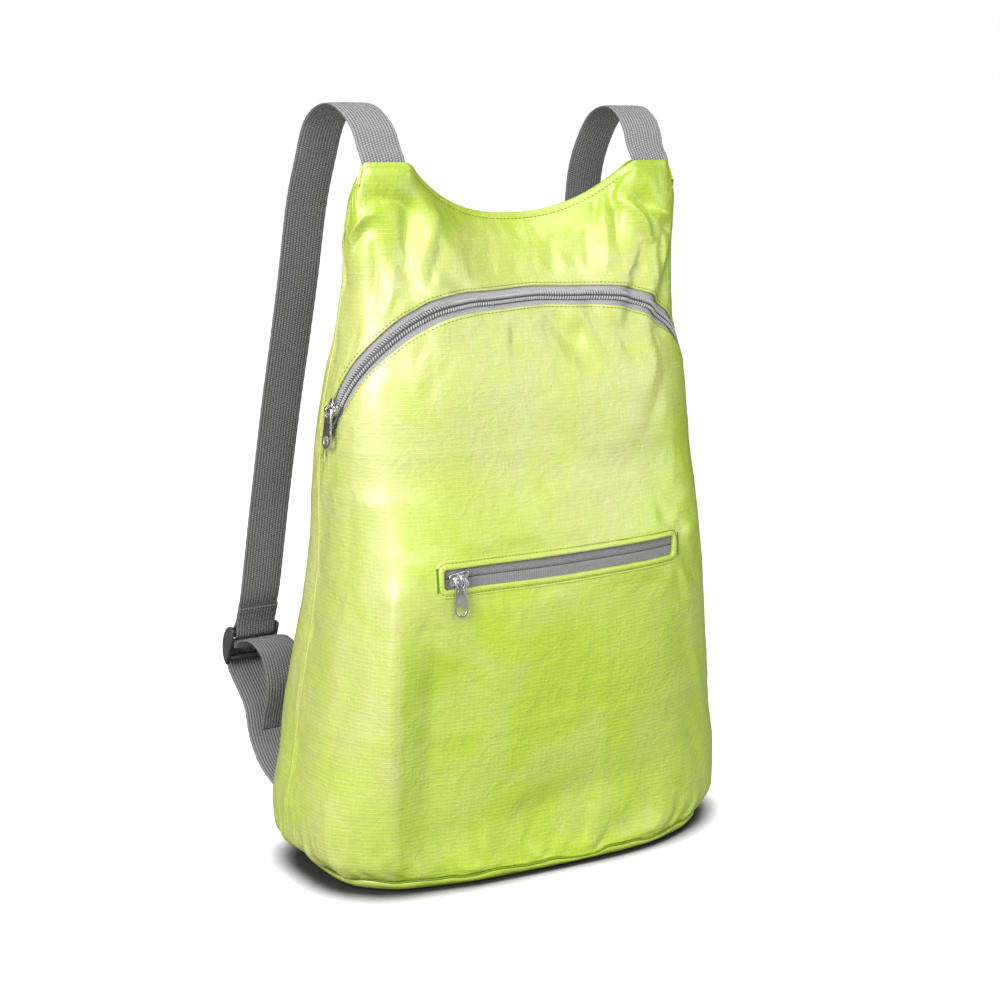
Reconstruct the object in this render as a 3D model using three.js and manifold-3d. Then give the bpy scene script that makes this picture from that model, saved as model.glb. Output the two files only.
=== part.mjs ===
// A packable backpack of thin ripstop cloth, standing filled out on its flat base.
// Millimetres, +Z up, the front faces -Y, and the origin is on the floor under the middle of the bag.
import * as THREE from 'three';
import { mergeVertices } from 'three/addons/utils/BufferGeometryUtils.js';
import Module from 'manifold-3d';

const wasm = await Module();
wasm.setup();

// Driving sizes
const bagHeight = 396;        // floor to the seams where the shoulder straps leave the horns
const bagHalfWidth = 134;     // widest half, just above the base
const bagDepth = 116;         // front to back at the base
const clothWall = 1.2;
const clearance = 0.3;        // gap that touching pieces keep
const baseRim = 6.5;          // height of the turned-up edge of the base panel
const baseEdgeRound = 6;      // how far the base curves in before it lies flat

// Neckline and horns
const neckDrop = 28;          // how far the neckline dips below the horn tops
const neckShare = 0.70;       // share of the half width that the dip takes
const neckForward = 16;       // how far the neck seam lies behind the horn tops
const neckRoundTop = 0.05;    // rounding of the corner between dip and horn at the neckline, as a share
const neckRoundLow = 0.55;    // the same lower down, where the cloth has no corner
const shoulderDrop = 11;      // how far the outer corner of a horn is rounded off
const shoulderShare = 0.95;   // share of the half width where that rounding starts

// Main zip
const zipApexShare = 0.874;   // share of bagHeight, measured up the cloth
const zipEndShare = 0.60;
const zipArch = 1.86;         // 2 gives a parabola, less gives straighter shoulders
const zipWindow = 12.5;       // width of tape that shows between the two cloth edges
const tapeWidth = 26;
const tapeThickness = 0.8;
const coilWidth = 5.2;
const coilHeight = 2.5;
const mainSliderShare = -0.84;  // place along the arch, -1 is the left end and 1 the right
const tapeReach = 0.985;      // place along the arch where the tapes end in the side seams

// Pocket zip on the lower front
const pocketHeight = 181;
const pocketLength = 150;
const pocketOpening = 11;
const pocketCorner = 1.5;       // radius of the slot's corners
const pocketTapeWidth = 22;
const seamOverlap = 5;          // tape held under the cloth at each end of the slot
const pocketSliderInset = 8;    // from the left end of the slot to the middle of the slider

// Sliders and pull tabs
const sliderLength = 11.5;
const sliderWidth = 8.6;
const sliderPlate = 1.4;
const bailOpening = 2.6;
const bailHeight = 2.2;
const bailWire = 1.2;
const bailWidth = 1.6;
const pullBar = 1.1;
const pullTopWidth = 6.6;
const pullEndWidth = 8.6;
const pullLength = 21;
const pullHole = 5.4;
const pullSlot = 3.8;         // how far down the tab the slot for the bail reaches

// Half of a slider's outline: along is a share of half its length, beside of half its width
const sliderOutlineColumns = ['along', 'beside'];
const sliderOutline = [
  [-1.00, 0.62],
  [-0.20, 0.80],
  [0.80, 1.00],
  [1.00, 0.70],
  [0.82, 0.00],
];

// Webbing and buckles
const strapWidth = 25;
const strapThickness = 1.4;
const strapMiddle = bagHalfWidth * 0.634;  // middle of the bag to the middle of a strap at its horn
const strapSpread = bagHalfWidth * 0.172;  // how much further out a strap is at its buckle
const rightLean = bagHalfWidth * 0.105;    // how far the right strap leans outwards behind its horn
const strapTucked = 12;       // length of webbing held inside the horn
const strapFold = 20;         // folded end above the buckle
const buckleHeight = 102;
const buckleBack = bagDepth * 1.043;  // from the origin back to the middle of a buckle
const buckleLength = 28;
const buckleRail = 2.6;
const buckleDepth = 9;
const buckleBar = 2.8;
const barInset = 4;           // from the end of a buckle to the middle of its first bar
const railGap = 0.8;          // room beside the webbing
const railSole = 2.4;         // how far a rail reaches behind the bars' middle
const buckleTilt = 26;        // degrees that a buckle leans from upright
const anchorHeight = 28;      // where the adjuster webbing is sewn to the back
const anchorTuck = 3;         // length of webbing inside the back seam, which the cloth then trims
const trimDepth = 10;         // how deep inside the back the trimming reaches
const tailReach = 53;         // how far forward of the buckle the free tail curves

// Sections of the bag, from the base up. Height is a share of bagHeight, width of bagHalfWidth,
// and seam, front and back are shares of bagDepth: the seam line's place behind the origin, and how far
// the front and the back bulge from it. Square is the superellipse power, 2 for an oval.
const sectionColumns = ['height', 'width', 'seam', 'front', 'back', 'square'];
const sections = [
  [0.000, 0.850, 0.060, 0.640, 0.320, 3.4],
  [0.050, 1.000, 0.080, 0.630, 0.375, 4.2],
  [0.200, 0.963, 0.075, 0.650, 0.395, 4.1],
  [0.450, 0.870, 0.005, 0.625, 0.305, 3.6],
  [0.600, 0.852, 0.000, 0.520, 0.205, 3.5],
  [0.700, 0.828, -0.030, 0.465, 0.143, 3.2],
  [0.780, 0.784, -0.050, 0.420, 0.112, 2.6],
  [0.850, 0.766, -0.085, 0.355, 0.088, 2.6],
  [0.910, 0.768, -0.110, 0.255, 0.069, 3.0],
  [0.960, 0.766, -0.155, 0.137, 0.044, 3.6],
  [1.000, 0.751, -0.210, 0.000, 0.000, 4.0],
];

// Folds and dents. Across runs from -1 at the left side seam to 1 at the right, height is a share of
// bagHeight, long and wide are shares of bagHeight, turn is the angle of the fold from upright in
// degrees, and depth is a share of bagDepth, inwards when positive.
const foldColumns = ['across', 'height', 'long', 'wide', 'turn', 'depth'];
const frontFolds = [
  [0.10, 0.800, 0.060, 0.020, -25, 0.035],
  [0.22, 0.815, 0.055, 0.018, -10, 0.030],
  [0.42, 0.850, 0.090, 0.022, 25, 0.040],
  [0.58, 0.820, 0.080, 0.020, 40, 0.035],
  [-0.50, 0.850, 0.080, 0.022, -20, 0.030],
  [-0.30, 0.870, 0.050, 0.020, -50, 0.025],
  [-0.10, 0.620, 0.180, 0.060, 10, 0.025],
  [0.30, 0.560, 0.120, 0.050, 60, 0.022],
  [-0.30, 0.330, 0.200, 0.040, 5, 0.022],
  [0.15, 0.300, 0.160, 0.060, -35, -0.030],
  [0.48, 0.230, 0.200, 0.035, -12, 0.030],
  [-0.62, 0.420, 0.220, 0.050, 4, 0.028],
  [-0.05, 0.100, 0.140, 0.030, 80, 0.020],
  [-0.50, 0.000, 0.200, 0.120, 0, 0.075],
  [0.30, 0.000, 0.180, 0.120, 0, -0.050],
];
const backFolds = [
  [-0.45, 0.700, 0.140, 0.035, 20, 0.025],
  [0.45, 0.700, 0.140, 0.035, -20, 0.025],
  [0.00, 0.450, 0.200, 0.070, 0, 0.030],
  [-0.60, 0.180, 0.100, 0.040, 60, 0.025],
  [0.60, 0.180, 0.100, 0.040, -60, 0.025],
];

// Loop of one shoulder strap seen from the side: back is a share of bagDepth behind the origin, height
// a share of bagHeight, and lean a share of how far the right strap leans outwards.
const strapRouteColumns = ['back', 'height', 'lean'];
const strapRoute = [
  [-0.164, 1.020, 0.00],
  [-0.121, 1.040, 0.10],
  [-0.026, 1.061, 0.35],
  [0.121, 1.076, 0.62],
  [0.284, 1.071, 0.85],
  [0.405, 1.051, 1.00],
  [0.517, 1.000, 1.00],
  [0.586, 0.944, 1.00],
  [0.655, 0.828, 0.95],
  [0.716, 0.740, 0.85],
  [0.784, 0.649, 0.72],
  [0.879, 0.492, 0.42],
];

// Free tail of the adjuster webbing, seen from the side, as offsets from the buckle's middle in
// shares of tailReach.
const tailRouteColumns = ['back', 'height'];
const tailRoute = [
  [-0.15, 0.06],
  [-0.32, 0.13],
  [-0.58, 0.17],
  [-0.85, 0.09],
  [-1.00, -0.17],
  [-0.96, -0.42],
  [-0.87, -0.60],
  [-0.81, -0.79],
];

// Lower part of the adjuster, from the back panel to the buckle, as shares of the way between them.
const anchorRouteColumns = ['back', 'height'];
const anchorRoute = [
  [0.24, 0.04],
  [0.50, 0.12],
  [0.68, 0.28],
  [0.78, 0.52],
];

// Grid steps
const acrossSteps = 36;
const frontRows = 12;
const yokeRows = 6;
const strapSteps = 36;
const coilSides = 8;
const footGather = 1.3;       // above 1 puts the rows of a panel closer together near the base

const cloth = new THREE.MeshStandardMaterial({ color: 0xb8d94a, roughness: 0.5, metalness: 0 });
const clothBack = new THREE.MeshStandardMaterial({ color: 0xa9cc3e, roughness: 0.5, metalness: 0 });
const zipTape = new THREE.MeshStandardMaterial({ color: 0x9e9d9e, roughness: 0.85, metalness: 0 });
const coilNylon = new THREE.MeshStandardMaterial({ color: 0xb4b3b4, roughness: 0.45, metalness: 0 });
const pocketTape = new THREE.MeshStandardMaterial({ color: 0x7f7e80, roughness: 0.85, metalness: 0 });
const chrome = new THREE.MeshStandardMaterial({ color: 0xcfcfd2, roughness: 0.2, metalness: 1 });
const webbingGrey = new THREE.MeshStandardMaterial({ color: 0x6f6f72, roughness: 0.8, metalness: 0 });
const blackPlastic = new THREE.MeshStandardMaterial({ color: 0x2b2c2e, roughness: 0.4, metalness: 0 });

const bag = new THREE.Group();

function addPiece(name, geometry, material) {
  const mesh = new THREE.Mesh(geometry, material);
  mesh.name = name;
  bag.add(mesh);
  return mesh;
}

// A row of a table as an object with its column names.
function rowsOf(columns, table) {
  return table.map((row) => Object.fromEntries(columns.map((name, i) => [name, row[i]])));
}

const sectionRows = rowsOf(sectionColumns, sections);

// The section at a share of the height, on a smooth curve through the table's rows.
function sectionAt(height) {
  const last = sectionRows.length - 2;
  let i = 0;
  while (i < last && sectionRows[i + 1].height < height) i += 1;
  const a = sectionRows[i];
  const b = sectionRows[i + 1];
  const before = sectionRows[Math.max(i - 1, 0)];
  const after = sectionRows[Math.min(i + 2, sectionRows.length - 1)];
  const span = b.height - a.height;
  const t = THREE.MathUtils.clamp((height - a.height) / span, 0, 1);
  const value = {};
  for (const name of sectionColumns.slice(1)) {
    const slopeA = ((b[name] - before[name]) / (b.height - before.height)) * span;
    const slopeB = ((after[name] - a[name]) / (after.height - a.height)) * span;
    const rise = b[name] - a[name];
    value[name] = a[name] + t * slopeA + t * t * (3 * rise - 2 * slopeA - slopeB)
      + t * t * t * (slopeA + slopeB - 2 * rise);
  }
  return value;
}

// How far the folds of one face move the cloth inwards, in millimetres.
function foldDepth(folds, across, height) {
  const faceWidth = 2.6 * bagHalfWidth;
  let depth = 0;
  for (const fold of folds) {
    const dx = ((across - fold.across) * faceWidth) / 2;
    const dz = (height - fold.height) * bagHeight;
    const turn = THREE.MathUtils.degToRad(fold.turn);
    const along = (dx * Math.sin(turn) + dz * Math.cos(turn)) / (fold.long * bagHeight);
    const beside = (dx * Math.cos(turn) - dz * Math.sin(turn)) / (fold.wide * bagHeight);
    depth += fold.depth * bagDepth * Math.exp(-along * along - beside * beside);
  }
  return depth;
}

const faces = {
  front: { side: -1, depth: 'front', folds: rowsOf(foldColumns, frontFolds) },
  back: { side: 1, depth: 'back', folds: rowsOf(foldColumns, backFolds) },
};

const ease = (from, to, value) => THREE.MathUtils.smoothstep(value, from, to);

// How far across the neckline's dip a place is, 1 at its end and beyond, with that corner rounded.
function dipShare(widthShare, height) {
  const width = THREE.MathUtils.lerp(neckRoundLow, neckRoundTop, ease(0.88, 1, height));
  const share = Math.abs(widthShare) / neckShare;
  const near = Math.max(width - Math.abs(share - 1), 0) / width;
  return Math.min(share, 1) - (near * near * width) / 4;
}

// Height lost to the neckline's dip and to the horn's rounded outer corner.
function topDrop(widthShare, height) {
  const inDip = dipShare(widthShare, height);
  const past = Math.max(Math.abs(widthShare) - shoulderShare, 0) / (1 - shoulderShare);
  return neckDrop * (1 - inDip ** 2.4) * ease(0.6, 1, height)
    + shoulderDrop * past * past * ease(0.8, 1, height);
}

// Half of the slot between yoke and back that holds the strap at the top of a horn.
function strapSlot(height) {
  return (strapThickness / 2 + clearance) * 1.9 * ease(0.93, 1, height);
}

// A point of the bag: across from -1 (left seam) to 1 (right seam), height from 0 to 1, and inset
// millimetres inside the outer face of the cloth.
function bagPoint(face, across, height, inset) {
  const { side, depth, folds } = faces[face];
  const section = sectionAt(height);
  const angle = ((1 - across) * Math.PI) / 2;
  const cos = Math.cos(angle);
  const sin = Math.abs(Math.sin(angle));
  const radius = (Math.abs(cos) ** section.square + sin ** section.square) ** (-1 / section.square);
  const halfWidth = section.width * bagHalfWidth;
  const bulge = section[depth] * bagDepth + clothWall + strapSlot(height);
  const calm = (1 - ease(0.9, 0.98, height)) * sin;
  const inwards = inset + calm * foldDepth(folds, across, height);
  const widthShare = cos * radius;
  const x = (halfWidth - inwards) * widthShare;
  const camber = neckForward * ease(0.6, 1, height) * (1 - dipShare(widthShare, height) ** 2);
  const y = section.seam * bagDepth + camber
    + side * ((bulge - inwards) * sin * radius + clearance / 2);
  const z = height * bagHeight - topDrop(widthShare, height);
  return new THREE.Vector3(x, y, z);
}

// Place, direction across the face and outward normal at a point of the bag.
function bagFrame(face, across, height, inset) {
  const step = 0.004;
  const origin = bagPoint(face, across, height, inset);
  const right = bagPoint(face, across + step, height, inset)
    .sub(bagPoint(face, across - step, height, inset)).normalize();
  const up = bagPoint(face, across, height + step, inset)
    .sub(bagPoint(face, across, height - step, inset)).normalize();
  const normal = right.clone().cross(up).normalize().multiplyScalar(-faces[face].side);
  return { origin, along: right, normal };
}

// The place across a face, at one height, where the cloth is a given distance from the middle.
function acrossAt(face, x, height) {
  let low = -1;
  let high = 1;
  for (let i = 0; i < 40; i += 1) {
    const middle = (low + high) / 2;
    if (bagPoint(face, middle, height, 0).x < x) low = middle;
    else high = middle;
  }
  return (low + high) / 2;
}

// Signed volume, used to turn every closed geometry outwards.
function signedVolume(positions, index) {
  let volume = 0;
  const a = new THREE.Vector3();
  const b = new THREE.Vector3();
  const c = new THREE.Vector3();
  for (let i = 0; i < index.length; i += 3) {
    a.fromArray(positions, index[i] * 3);
    b.fromArray(positions, index[i + 1] * 3);
    c.fromArray(positions, index[i + 2] * 3);
    volume += a.dot(b.cross(c)) / 6;
  }
  return volume;
}

function closedGeometry(points, index) {
  const positions = points.flatMap((p) => [p.x, p.y, p.z]);
  if (signedVolume(positions, index) < 0) {
    for (let i = 0; i < index.length; i += 3) [index[i], index[i + 1]] = [index[i + 1], index[i]];
  }
  const geometry = new THREE.BufferGeometry();
  geometry.setAttribute('position', new THREE.Float32BufferAttribute(positions, 3));
  geometry.setIndex(index);
  geometry.computeVertexNormals();
  return geometry;
}

// A closed sheet with thickness: pointAt(column, row, side) gives the outer (0) and inner (1) face.
function thickSheet(columns, rows, pointAt) {
  const points = [];
  const index = [];
  for (let side = 0; side < 2; side += 1) {
    for (let i = 0; i <= columns; i += 1) {
      for (let j = 0; j <= rows; j += 1) points.push(pointAt(i / columns, j / rows, side));
    }
  }
  const at = (side, i, j) => side * (columns + 1) * (rows + 1) + i * (rows + 1) + j;
  const quad = (a, b, c, d) => index.push(a, b, c, a, c, d);
  for (let i = 0; i < columns; i += 1) {
    for (let j = 0; j < rows; j += 1) {
      quad(at(0, i, j), at(0, i + 1, j), at(0, i + 1, j + 1), at(0, i, j + 1));
      quad(at(1, i, j), at(1, i, j + 1), at(1, i + 1, j + 1), at(1, i + 1, j));
    }
    quad(at(0, i, 0), at(1, i, 0), at(1, i + 1, 0), at(0, i + 1, 0));
    quad(at(0, i, rows), at(0, i + 1, rows), at(1, i + 1, rows), at(1, i, rows));
  }
  for (let j = 0; j < rows; j += 1) {
    quad(at(0, 0, j), at(0, 0, j + 1), at(1, 0, j + 1), at(1, 0, j));
    quad(at(0, columns, j), at(1, columns, j), at(1, columns, j + 1), at(0, columns, j + 1));
  }
  return closedGeometry(points, index);
}

// A closed body through a list of rings with the same number of points, each end closed by a fan.
function ringBody(rings) {
  const count = rings[0].length;
  const points = rings.flat();
  const index = [];
  for (let i = 0; i < rings.length - 1; i += 1) {
    for (let j = 0; j < count; j += 1) {
      const a = i * count + j;
      const b = i * count + ((j + 1) % count);
      index.push(a, b, b + count, a, b + count, a + count);
    }
  }
  for (const [first, flip] of [[0, true], [(rings.length - 1) * count, false]]) {
    const middle = new THREE.Vector3();
    for (let j = 0; j < count; j += 1) middle.addScaledVector(points[first + j], 1 / count);
    points.push(middle);
    for (let j = 0; j < count; j += 1) {
      const a = first + j;
      const b = first + ((j + 1) % count);
      if (flip) index.push(b, a, points.length - 1);
      else index.push(a, b, points.length - 1);
    }
  }
  return closedGeometry(points, index);
}

function toManifold(geometry) {
  const bare = geometry.clone();
  bare.deleteAttribute('normal');
  bare.deleteAttribute('uv');
  const merged = mergeVertices(bare, 1e-4);
  return new wasm.Manifold(new wasm.Mesh({
    numProp: 3,
    vertProperties: new Float32Array(merged.attributes.position.array),
    triVerts: new Uint32Array(merged.index.array),
  }));
}

function fromManifold(solid) {
  const mesh = solid.getMesh();
  const geometry = new THREE.BufferGeometry();
  geometry.setAttribute('position', new THREE.Float32BufferAttribute(mesh.vertProperties, 3));
  geometry.setIndex(Array.from(mesh.triVerts));
  geometry.computeVertexNormals();
  return geometry;
}

function joined(geometries) {
  const solids = geometries.map(toManifold);
  return fromManifold(solids.slice(1).reduce((sum, solid) => sum.add(solid), solids[0]));
}

// Zip arch: its height, and the allowance that turns a width square to the zip into one up the bag.
function zipHeight(across) {
  return zipApexShare - (zipApexShare - zipEndShare) * Math.abs(across) ** zipArch;
}

function acrossZip(across) {
  const step = 0.01;
  const a = bagPoint('front', across - step, zipHeight(across - step), 0);
  const b = bagPoint('front', across + step, zipHeight(across + step), 0);
  const flat = Math.hypot(b.x - a.x, b.y - a.y);
  return Math.hypot(1, (b.z - a.z) / flat) / bagHeight;
}

// Height share of a line beside the zip, a given distance above (positive) or below its middle.
function besideZip(across, distance) {
  const place = THREE.MathUtils.clamp(across, -tapeReach, tapeReach);
  return zipHeight(across) + distance * acrossZip(place);
}

const panelFoot = (baseRim + clearance) / bagHeight;
const spread = (share) => share * 2 - 1;

// Front: from the base seam to the lower edge of the zip, with the pocket slot cut in it.
// The cutter runs forwards from inside the bag, so it leaves the back whole.
const slotCutStart = -10;

function slotCutter() {
  const half = pocketLength / 2;
  const radius = pocketCorner;
  const low = pocketHeight - pocketOpening / 2;
  const high = pocketHeight + pocketOpening / 2;
  const outline = new THREE.Shape();
  outline.moveTo(-half + radius, low);
  outline.lineTo(half - radius, low);
  outline.absarc(half - radius, low + radius, radius, -Math.PI / 2, 0);
  outline.absarc(half - radius, high - radius, radius, 0, Math.PI / 2);
  outline.absarc(-half + radius, high - radius, radius, Math.PI / 2, Math.PI);
  outline.absarc(-half + radius, low + radius, radius, Math.PI, Math.PI * 1.5);
  const cutter = new THREE.ExtrudeGeometry(outline, {
    depth: bagDepth,
    bevelEnabled: false,
    curveSegments: 3,
  });
  cutter.rotateX(Math.PI / 2);
  cutter.translate(0, slotCutStart, 0);
  return cutter;
}

// A row of a panel: even steps from its far edge to the end of the tape, then one step over the tape.
function panelRow(share, rows, farEdge, tapeEnd, zipEdge) {
  const step = share * rows;
  if (step > rows - 1) return THREE.MathUtils.lerp(tapeEnd, zipEdge, step - rows + 1);
  return THREE.MathUtils.lerp(farEdge, tapeEnd, (step / (rows - 1)) ** (farEdge < tapeEnd ? footGather : 1));
}

const frontHeight = (across, share) => panelRow(share, frontRows, panelFoot,
  besideZip(across, -tapeWidth / 2), besideZip(across, -zipWindow / 2));
const yokeHeight = (across, share) => panelRow(share, yokeRows, 1,
  besideZip(across, tapeWidth / 2), besideZip(across, zipWindow / 2));

const wholeFront = thickSheet(acrossSteps, frontRows, (i, j, side) => (
  bagPoint('front', spread(i), frontHeight(spread(i), j), side * clothWall)
));
const frontPanel = fromManifold(toManifold(wholeFront).subtract(toManifold(slotCutter())));
addPiece('front_panel', frontPanel, cloth);

// Yoke: from the upper edge of the zip to the neckline and the horn tops
addPiece('yoke_panel', thickSheet(acrossSteps, yokeRows, (i, j, side) => (
  bagPoint('front', spread(i), yokeHeight(spread(i), j), side * clothWall)
)), cloth);

// Back: its rows meet those of the front and the yoke along the side seams
const seamHeights = [
  ...Array.from({ length: frontRows + 1 }, (_, row) => frontHeight(1, row / frontRows)),
  ...Array.from({ length: yokeRows + 1 }, (_, row) => yokeHeight(1, 1 - row / yokeRows)),
];
const backRows = seamHeights.length - 1;

function backSheet(outer, inner) {
  return thickSheet(acrossSteps, backRows, (i, j, side) => (
    bagPoint('back', spread(i), seamHeights[Math.round(j * backRows)], side ? inner : outer)
  ));
}

addPiece('back_panel', backSheet(0, clothWall), clothBack);

// Base: a flat bottom whose edge turns up to the seam. Each step is inset and height.
function baseRing(inset, height) {
  const ring = [];
  for (const face of ['front', 'back']) {
    for (let i = 0; i < acrossSteps; i += 1) {
      const across = face === 'front' ? spread(i / acrossSteps) : -spread(i / acrossSteps);
      const point = bagPoint(face, across, panelFoot, inset);
      point.z = height;
      ring.push(point);
    }
  }
  return ring;
}

addPiece('base_panel', ringBody([
  baseRing(baseEdgeRound, 0),
  baseRing(baseEdgeRound * 0.3, baseRim * 0.2),
  baseRing(0, baseRim),
  baseRing(clothWall, baseRim),
  baseRing(baseEdgeRound * 0.3 + clothWall, baseRim * 0.2 + clothWall),
  baseRing(baseEdgeRound + clothWall, clothWall),
]), clothBack);

// Main zip: two tapes under the cloth edges, and the closed coil on them
const tapeInset = clothWall + clearance * 1.5;
for (const [name, side] of [['upper', 1], ['lower', -1]]) {
  addPiece(`main_zip_tape_${name}`, thickSheet(acrossSteps, 2, (i, j, under) => {
    const across = THREE.MathUtils.clamp(spread(i), -tapeReach, tapeReach);
    const distance = side * [tapeWidth / 2, zipWindow / 2, clearance / 2][Math.round(j * 2)];
    return bagPoint('front', across, besideZip(across, distance), tapeInset + under * tapeThickness);
  }), zipTape);
}

// Directions at a place on the zip: along it, out of the cloth, and down the cloth
function zipFrame(across, inset) {
  const frame = bagFrame('front', across, zipHeight(across), inset);
  const step = 0.004;
  const along = bagPoint('front', across + step, zipHeight(across + step), inset)
    .sub(bagPoint('front', across - step, zipHeight(across - step), inset)).normalize();
  return { origin: frame.origin, along, normal: frame.normal };
}

const coilInset = tapeInset - clearance * 2.5 - coilHeight / 2;
addPiece('main_zip_coil', ringBody(Array.from({ length: acrossSteps - 1 }, (_, i) => {
  const { origin, along, normal } = zipFrame(spread((i + 1) / acrossSteps), coilInset);
  const beside = normal.clone().cross(along);
  return Array.from({ length: coilSides }, (__, j) => {
    const turn = ((j + 0.5) * Math.PI * 2) / coilSides;
    const rim = 1 / Math.cos(Math.PI / coilSides);
    return origin.clone()
      .addScaledVector(beside, (coilWidth / 2) * THREE.MathUtils.clamp(Math.cos(turn) * rim, -1, 1))
      .addScaledVector(normal, (coilHeight / 2) * THREE.MathUtils.clamp(Math.sin(turn) * rim, -1, 1));
  });
})), coilNylon);

// Pocket zip: the coil is at the back, so the two tapes show with a fine line between them
const pocketShare = pocketHeight / bagHeight;
const pocketReach = acrossAt('front', pocketLength / 2 + seamOverlap, pocketShare);
const pocketColumns = Math.ceil((pocketReach * acrossSteps) / 2);

// A point on the front panel as its grid has it, straight between two rows of the grid
function panelPoint(across, height, inset) {
  let row = 0;
  while (row < frontRows - 1 && frontHeight(across, (row + 1) / frontRows) < height) row += 1;
  const low = frontHeight(across, row / frontRows);
  const high = frontHeight(across, (row + 1) / frontRows);
  return bagPoint('front', across, low, inset)
    .lerp(bagPoint('front', across, high, inset), (height - low) / (high - low));
}

for (const [name, side] of [['upper', 1], ['lower', -1]]) {
  addPiece(`pocket_zip_tape_${name}`, thickSheet(pocketColumns * 2, 1, (i, j, under) => {
    const across = (spread(i) * pocketColumns * 2) / acrossSteps;
    const distance = side * [pocketTapeWidth / 2, clearance / 2][j];
    return panelPoint(across, pocketShare + distance / bagHeight, tapeInset + under * tapeThickness);
  }), pocketTape);
}

// A slider with its bail, in its own frame: X across the pull, Y down the pull, Z out of the cloth.
// The plate lies from low to high in Z, and a channel for the coil is cut from it when it has one.
function sliderGeometry(turn, low, high, channel) {
  const halfWidth = sliderWidth / 2;
  const halfLength = sliderLength / 2;
  const corners = [];
  const outline = new THREE.Shape();
  const half = rowsOf(sliderOutlineColumns, sliderOutline);
  for (const row of half) corners.push([row.along * halfLength, -row.beside * halfWidth]);
  for (const row of half.slice(0, -1).reverse()) {
    corners.push([row.along * halfLength, row.beside * halfWidth]);
  }
  outline.setFromPoints(corners.map(([x, y]) => new THREE.Vector2(x, y)));
  outline.closePath();
  const plate = new THREE.ExtrudeGeometry(outline, { depth: high - low, bevelEnabled: false });
  plate.translate(0, 0, low);
  plate.rotateZ(turn);
  const bailOutline = new THREE.Shape();
  const reach = bailOpening / 2 + bailWire;
  bailOutline.moveTo(-reach, high - 0.2);
  bailOutline.lineTo(-reach, high + bailHeight);
  bailOutline.absarc(0, high + bailHeight + bailWire - reach, reach, Math.PI * 0.86, Math.PI * 0.14, true);
  bailOutline.lineTo(reach, high + bailHeight);
  bailOutline.lineTo(reach, high - 0.2);
  bailOutline.lineTo(bailOpening / 2, high - 0.2);
  bailOutline.lineTo(bailOpening / 2, high + bailHeight);
  bailOutline.lineTo(-bailOpening / 2, high + bailHeight);
  bailOutline.lineTo(-bailOpening / 2, high - 0.2);
  bailOutline.closePath();
  const bail = new THREE.ExtrudeGeometry(bailOutline, {
    depth: bailWidth,
    bevelEnabled: false,
    curveSegments: 6,
  });
  bail.translate(0, 0, -bailWidth / 2);
  bail.rotateX(Math.PI / 2);
  bail.rotateZ(Math.PI / 2);
  let solid = toManifold(plate);
  if (channel > 0) {
    const groove = new THREE.BoxGeometry(sliderLength * 3, coilWidth + clearance * 2, channel - low + 1);
    groove.translate(0, 0, (low - 1 + channel) / 2);
    groove.rotateZ(turn);
    solid = solid.subtract(toManifold(groove));
  }
  return fromManifold(solid.add(toManifold(bail)));
}

// A pull tab lying in its slider's frame, hung from its bar at the origin
function pullGeometry() {
  const top = pullTopWidth / 2;
  const end = pullEndWidth / 2;
  const outline = new THREE.Shape();
  outline.moveTo(-top, -pullBar / 2);
  outline.lineTo(top, -pullBar / 2);
  outline.lineTo(top, pullLength * 0.5);
  outline.lineTo(end, pullLength - end - pullBar / 2);
  outline.absarc(0, pullLength - end - pullBar / 2, end, 0, Math.PI, false);
  outline.lineTo(-top, pullLength * 0.5);
  outline.closePath();
  const slot = new THREE.Path();
  const slotHalf = top - pullBar;
  slot.moveTo(-slotHalf, pullBar / 2);
  slot.lineTo(-slotHalf, pullSlot);
  slot.lineTo(slotHalf, pullSlot);
  slot.lineTo(slotHalf, pullBar / 2);
  slot.closePath();
  const ring = new THREE.Path();
  ring.absarc(0, pullLength - end - pullBar / 2, pullHole / 2, 0, Math.PI * 2, true);
  outline.holes.push(slot, ring);
  const tab = new THREE.ExtrudeGeometry(outline, { depth: pullBar, bevelEnabled: false, curveSegments: 12 });
  tab.translate(0, 0, -pullBar / 2);
  return fromManifold(toManifold(tab));
}

// Puts a slider and its pull on the cloth: the pull hangs down, the slider points along its zip
function addSlider(name, frame, low, high, channel) {
  const down = new THREE.Vector3(0, 0, -1);
  down.addScaledVector(frame.normal, -down.dot(frame.normal)).normalize();
  const sideways = down.clone().cross(frame.normal);
  const turn = Math.atan2(frame.along.dot(down), frame.along.dot(sideways));
  const place = new THREE.Matrix4().makeBasis(sideways, down, frame.normal).setPosition(frame.origin);
  const slider = addPiece(`${name}_slider`, sliderGeometry(turn, low, high, channel), chrome);
  slider.applyMatrix4(place);
  const pull = addPiece(`${name}_pull`, pullGeometry(), chrome);
  pull.applyMatrix4(new THREE.Matrix4().makeTranslation(0, 0, high + bailHeight / 2));
  pull.applyMatrix4(place);
}

const coilTop = coilHeight / 2 - coilInset;
addSlider('main_zip', zipFrame(mainSliderShare, 0), -clothWall, coilTop + clearance + sliderPlate,
  coilTop + clearance);

const pocketSliderAcross = acrossAt('front', pocketSliderInset - pocketLength / 2, pocketShare);
const pocketFrame = bagFrame('front', pocketSliderAcross, pocketShare, 0);
addSlider('pocket_zip', pocketFrame, -clothWall, sliderPlate, 0);

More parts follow.
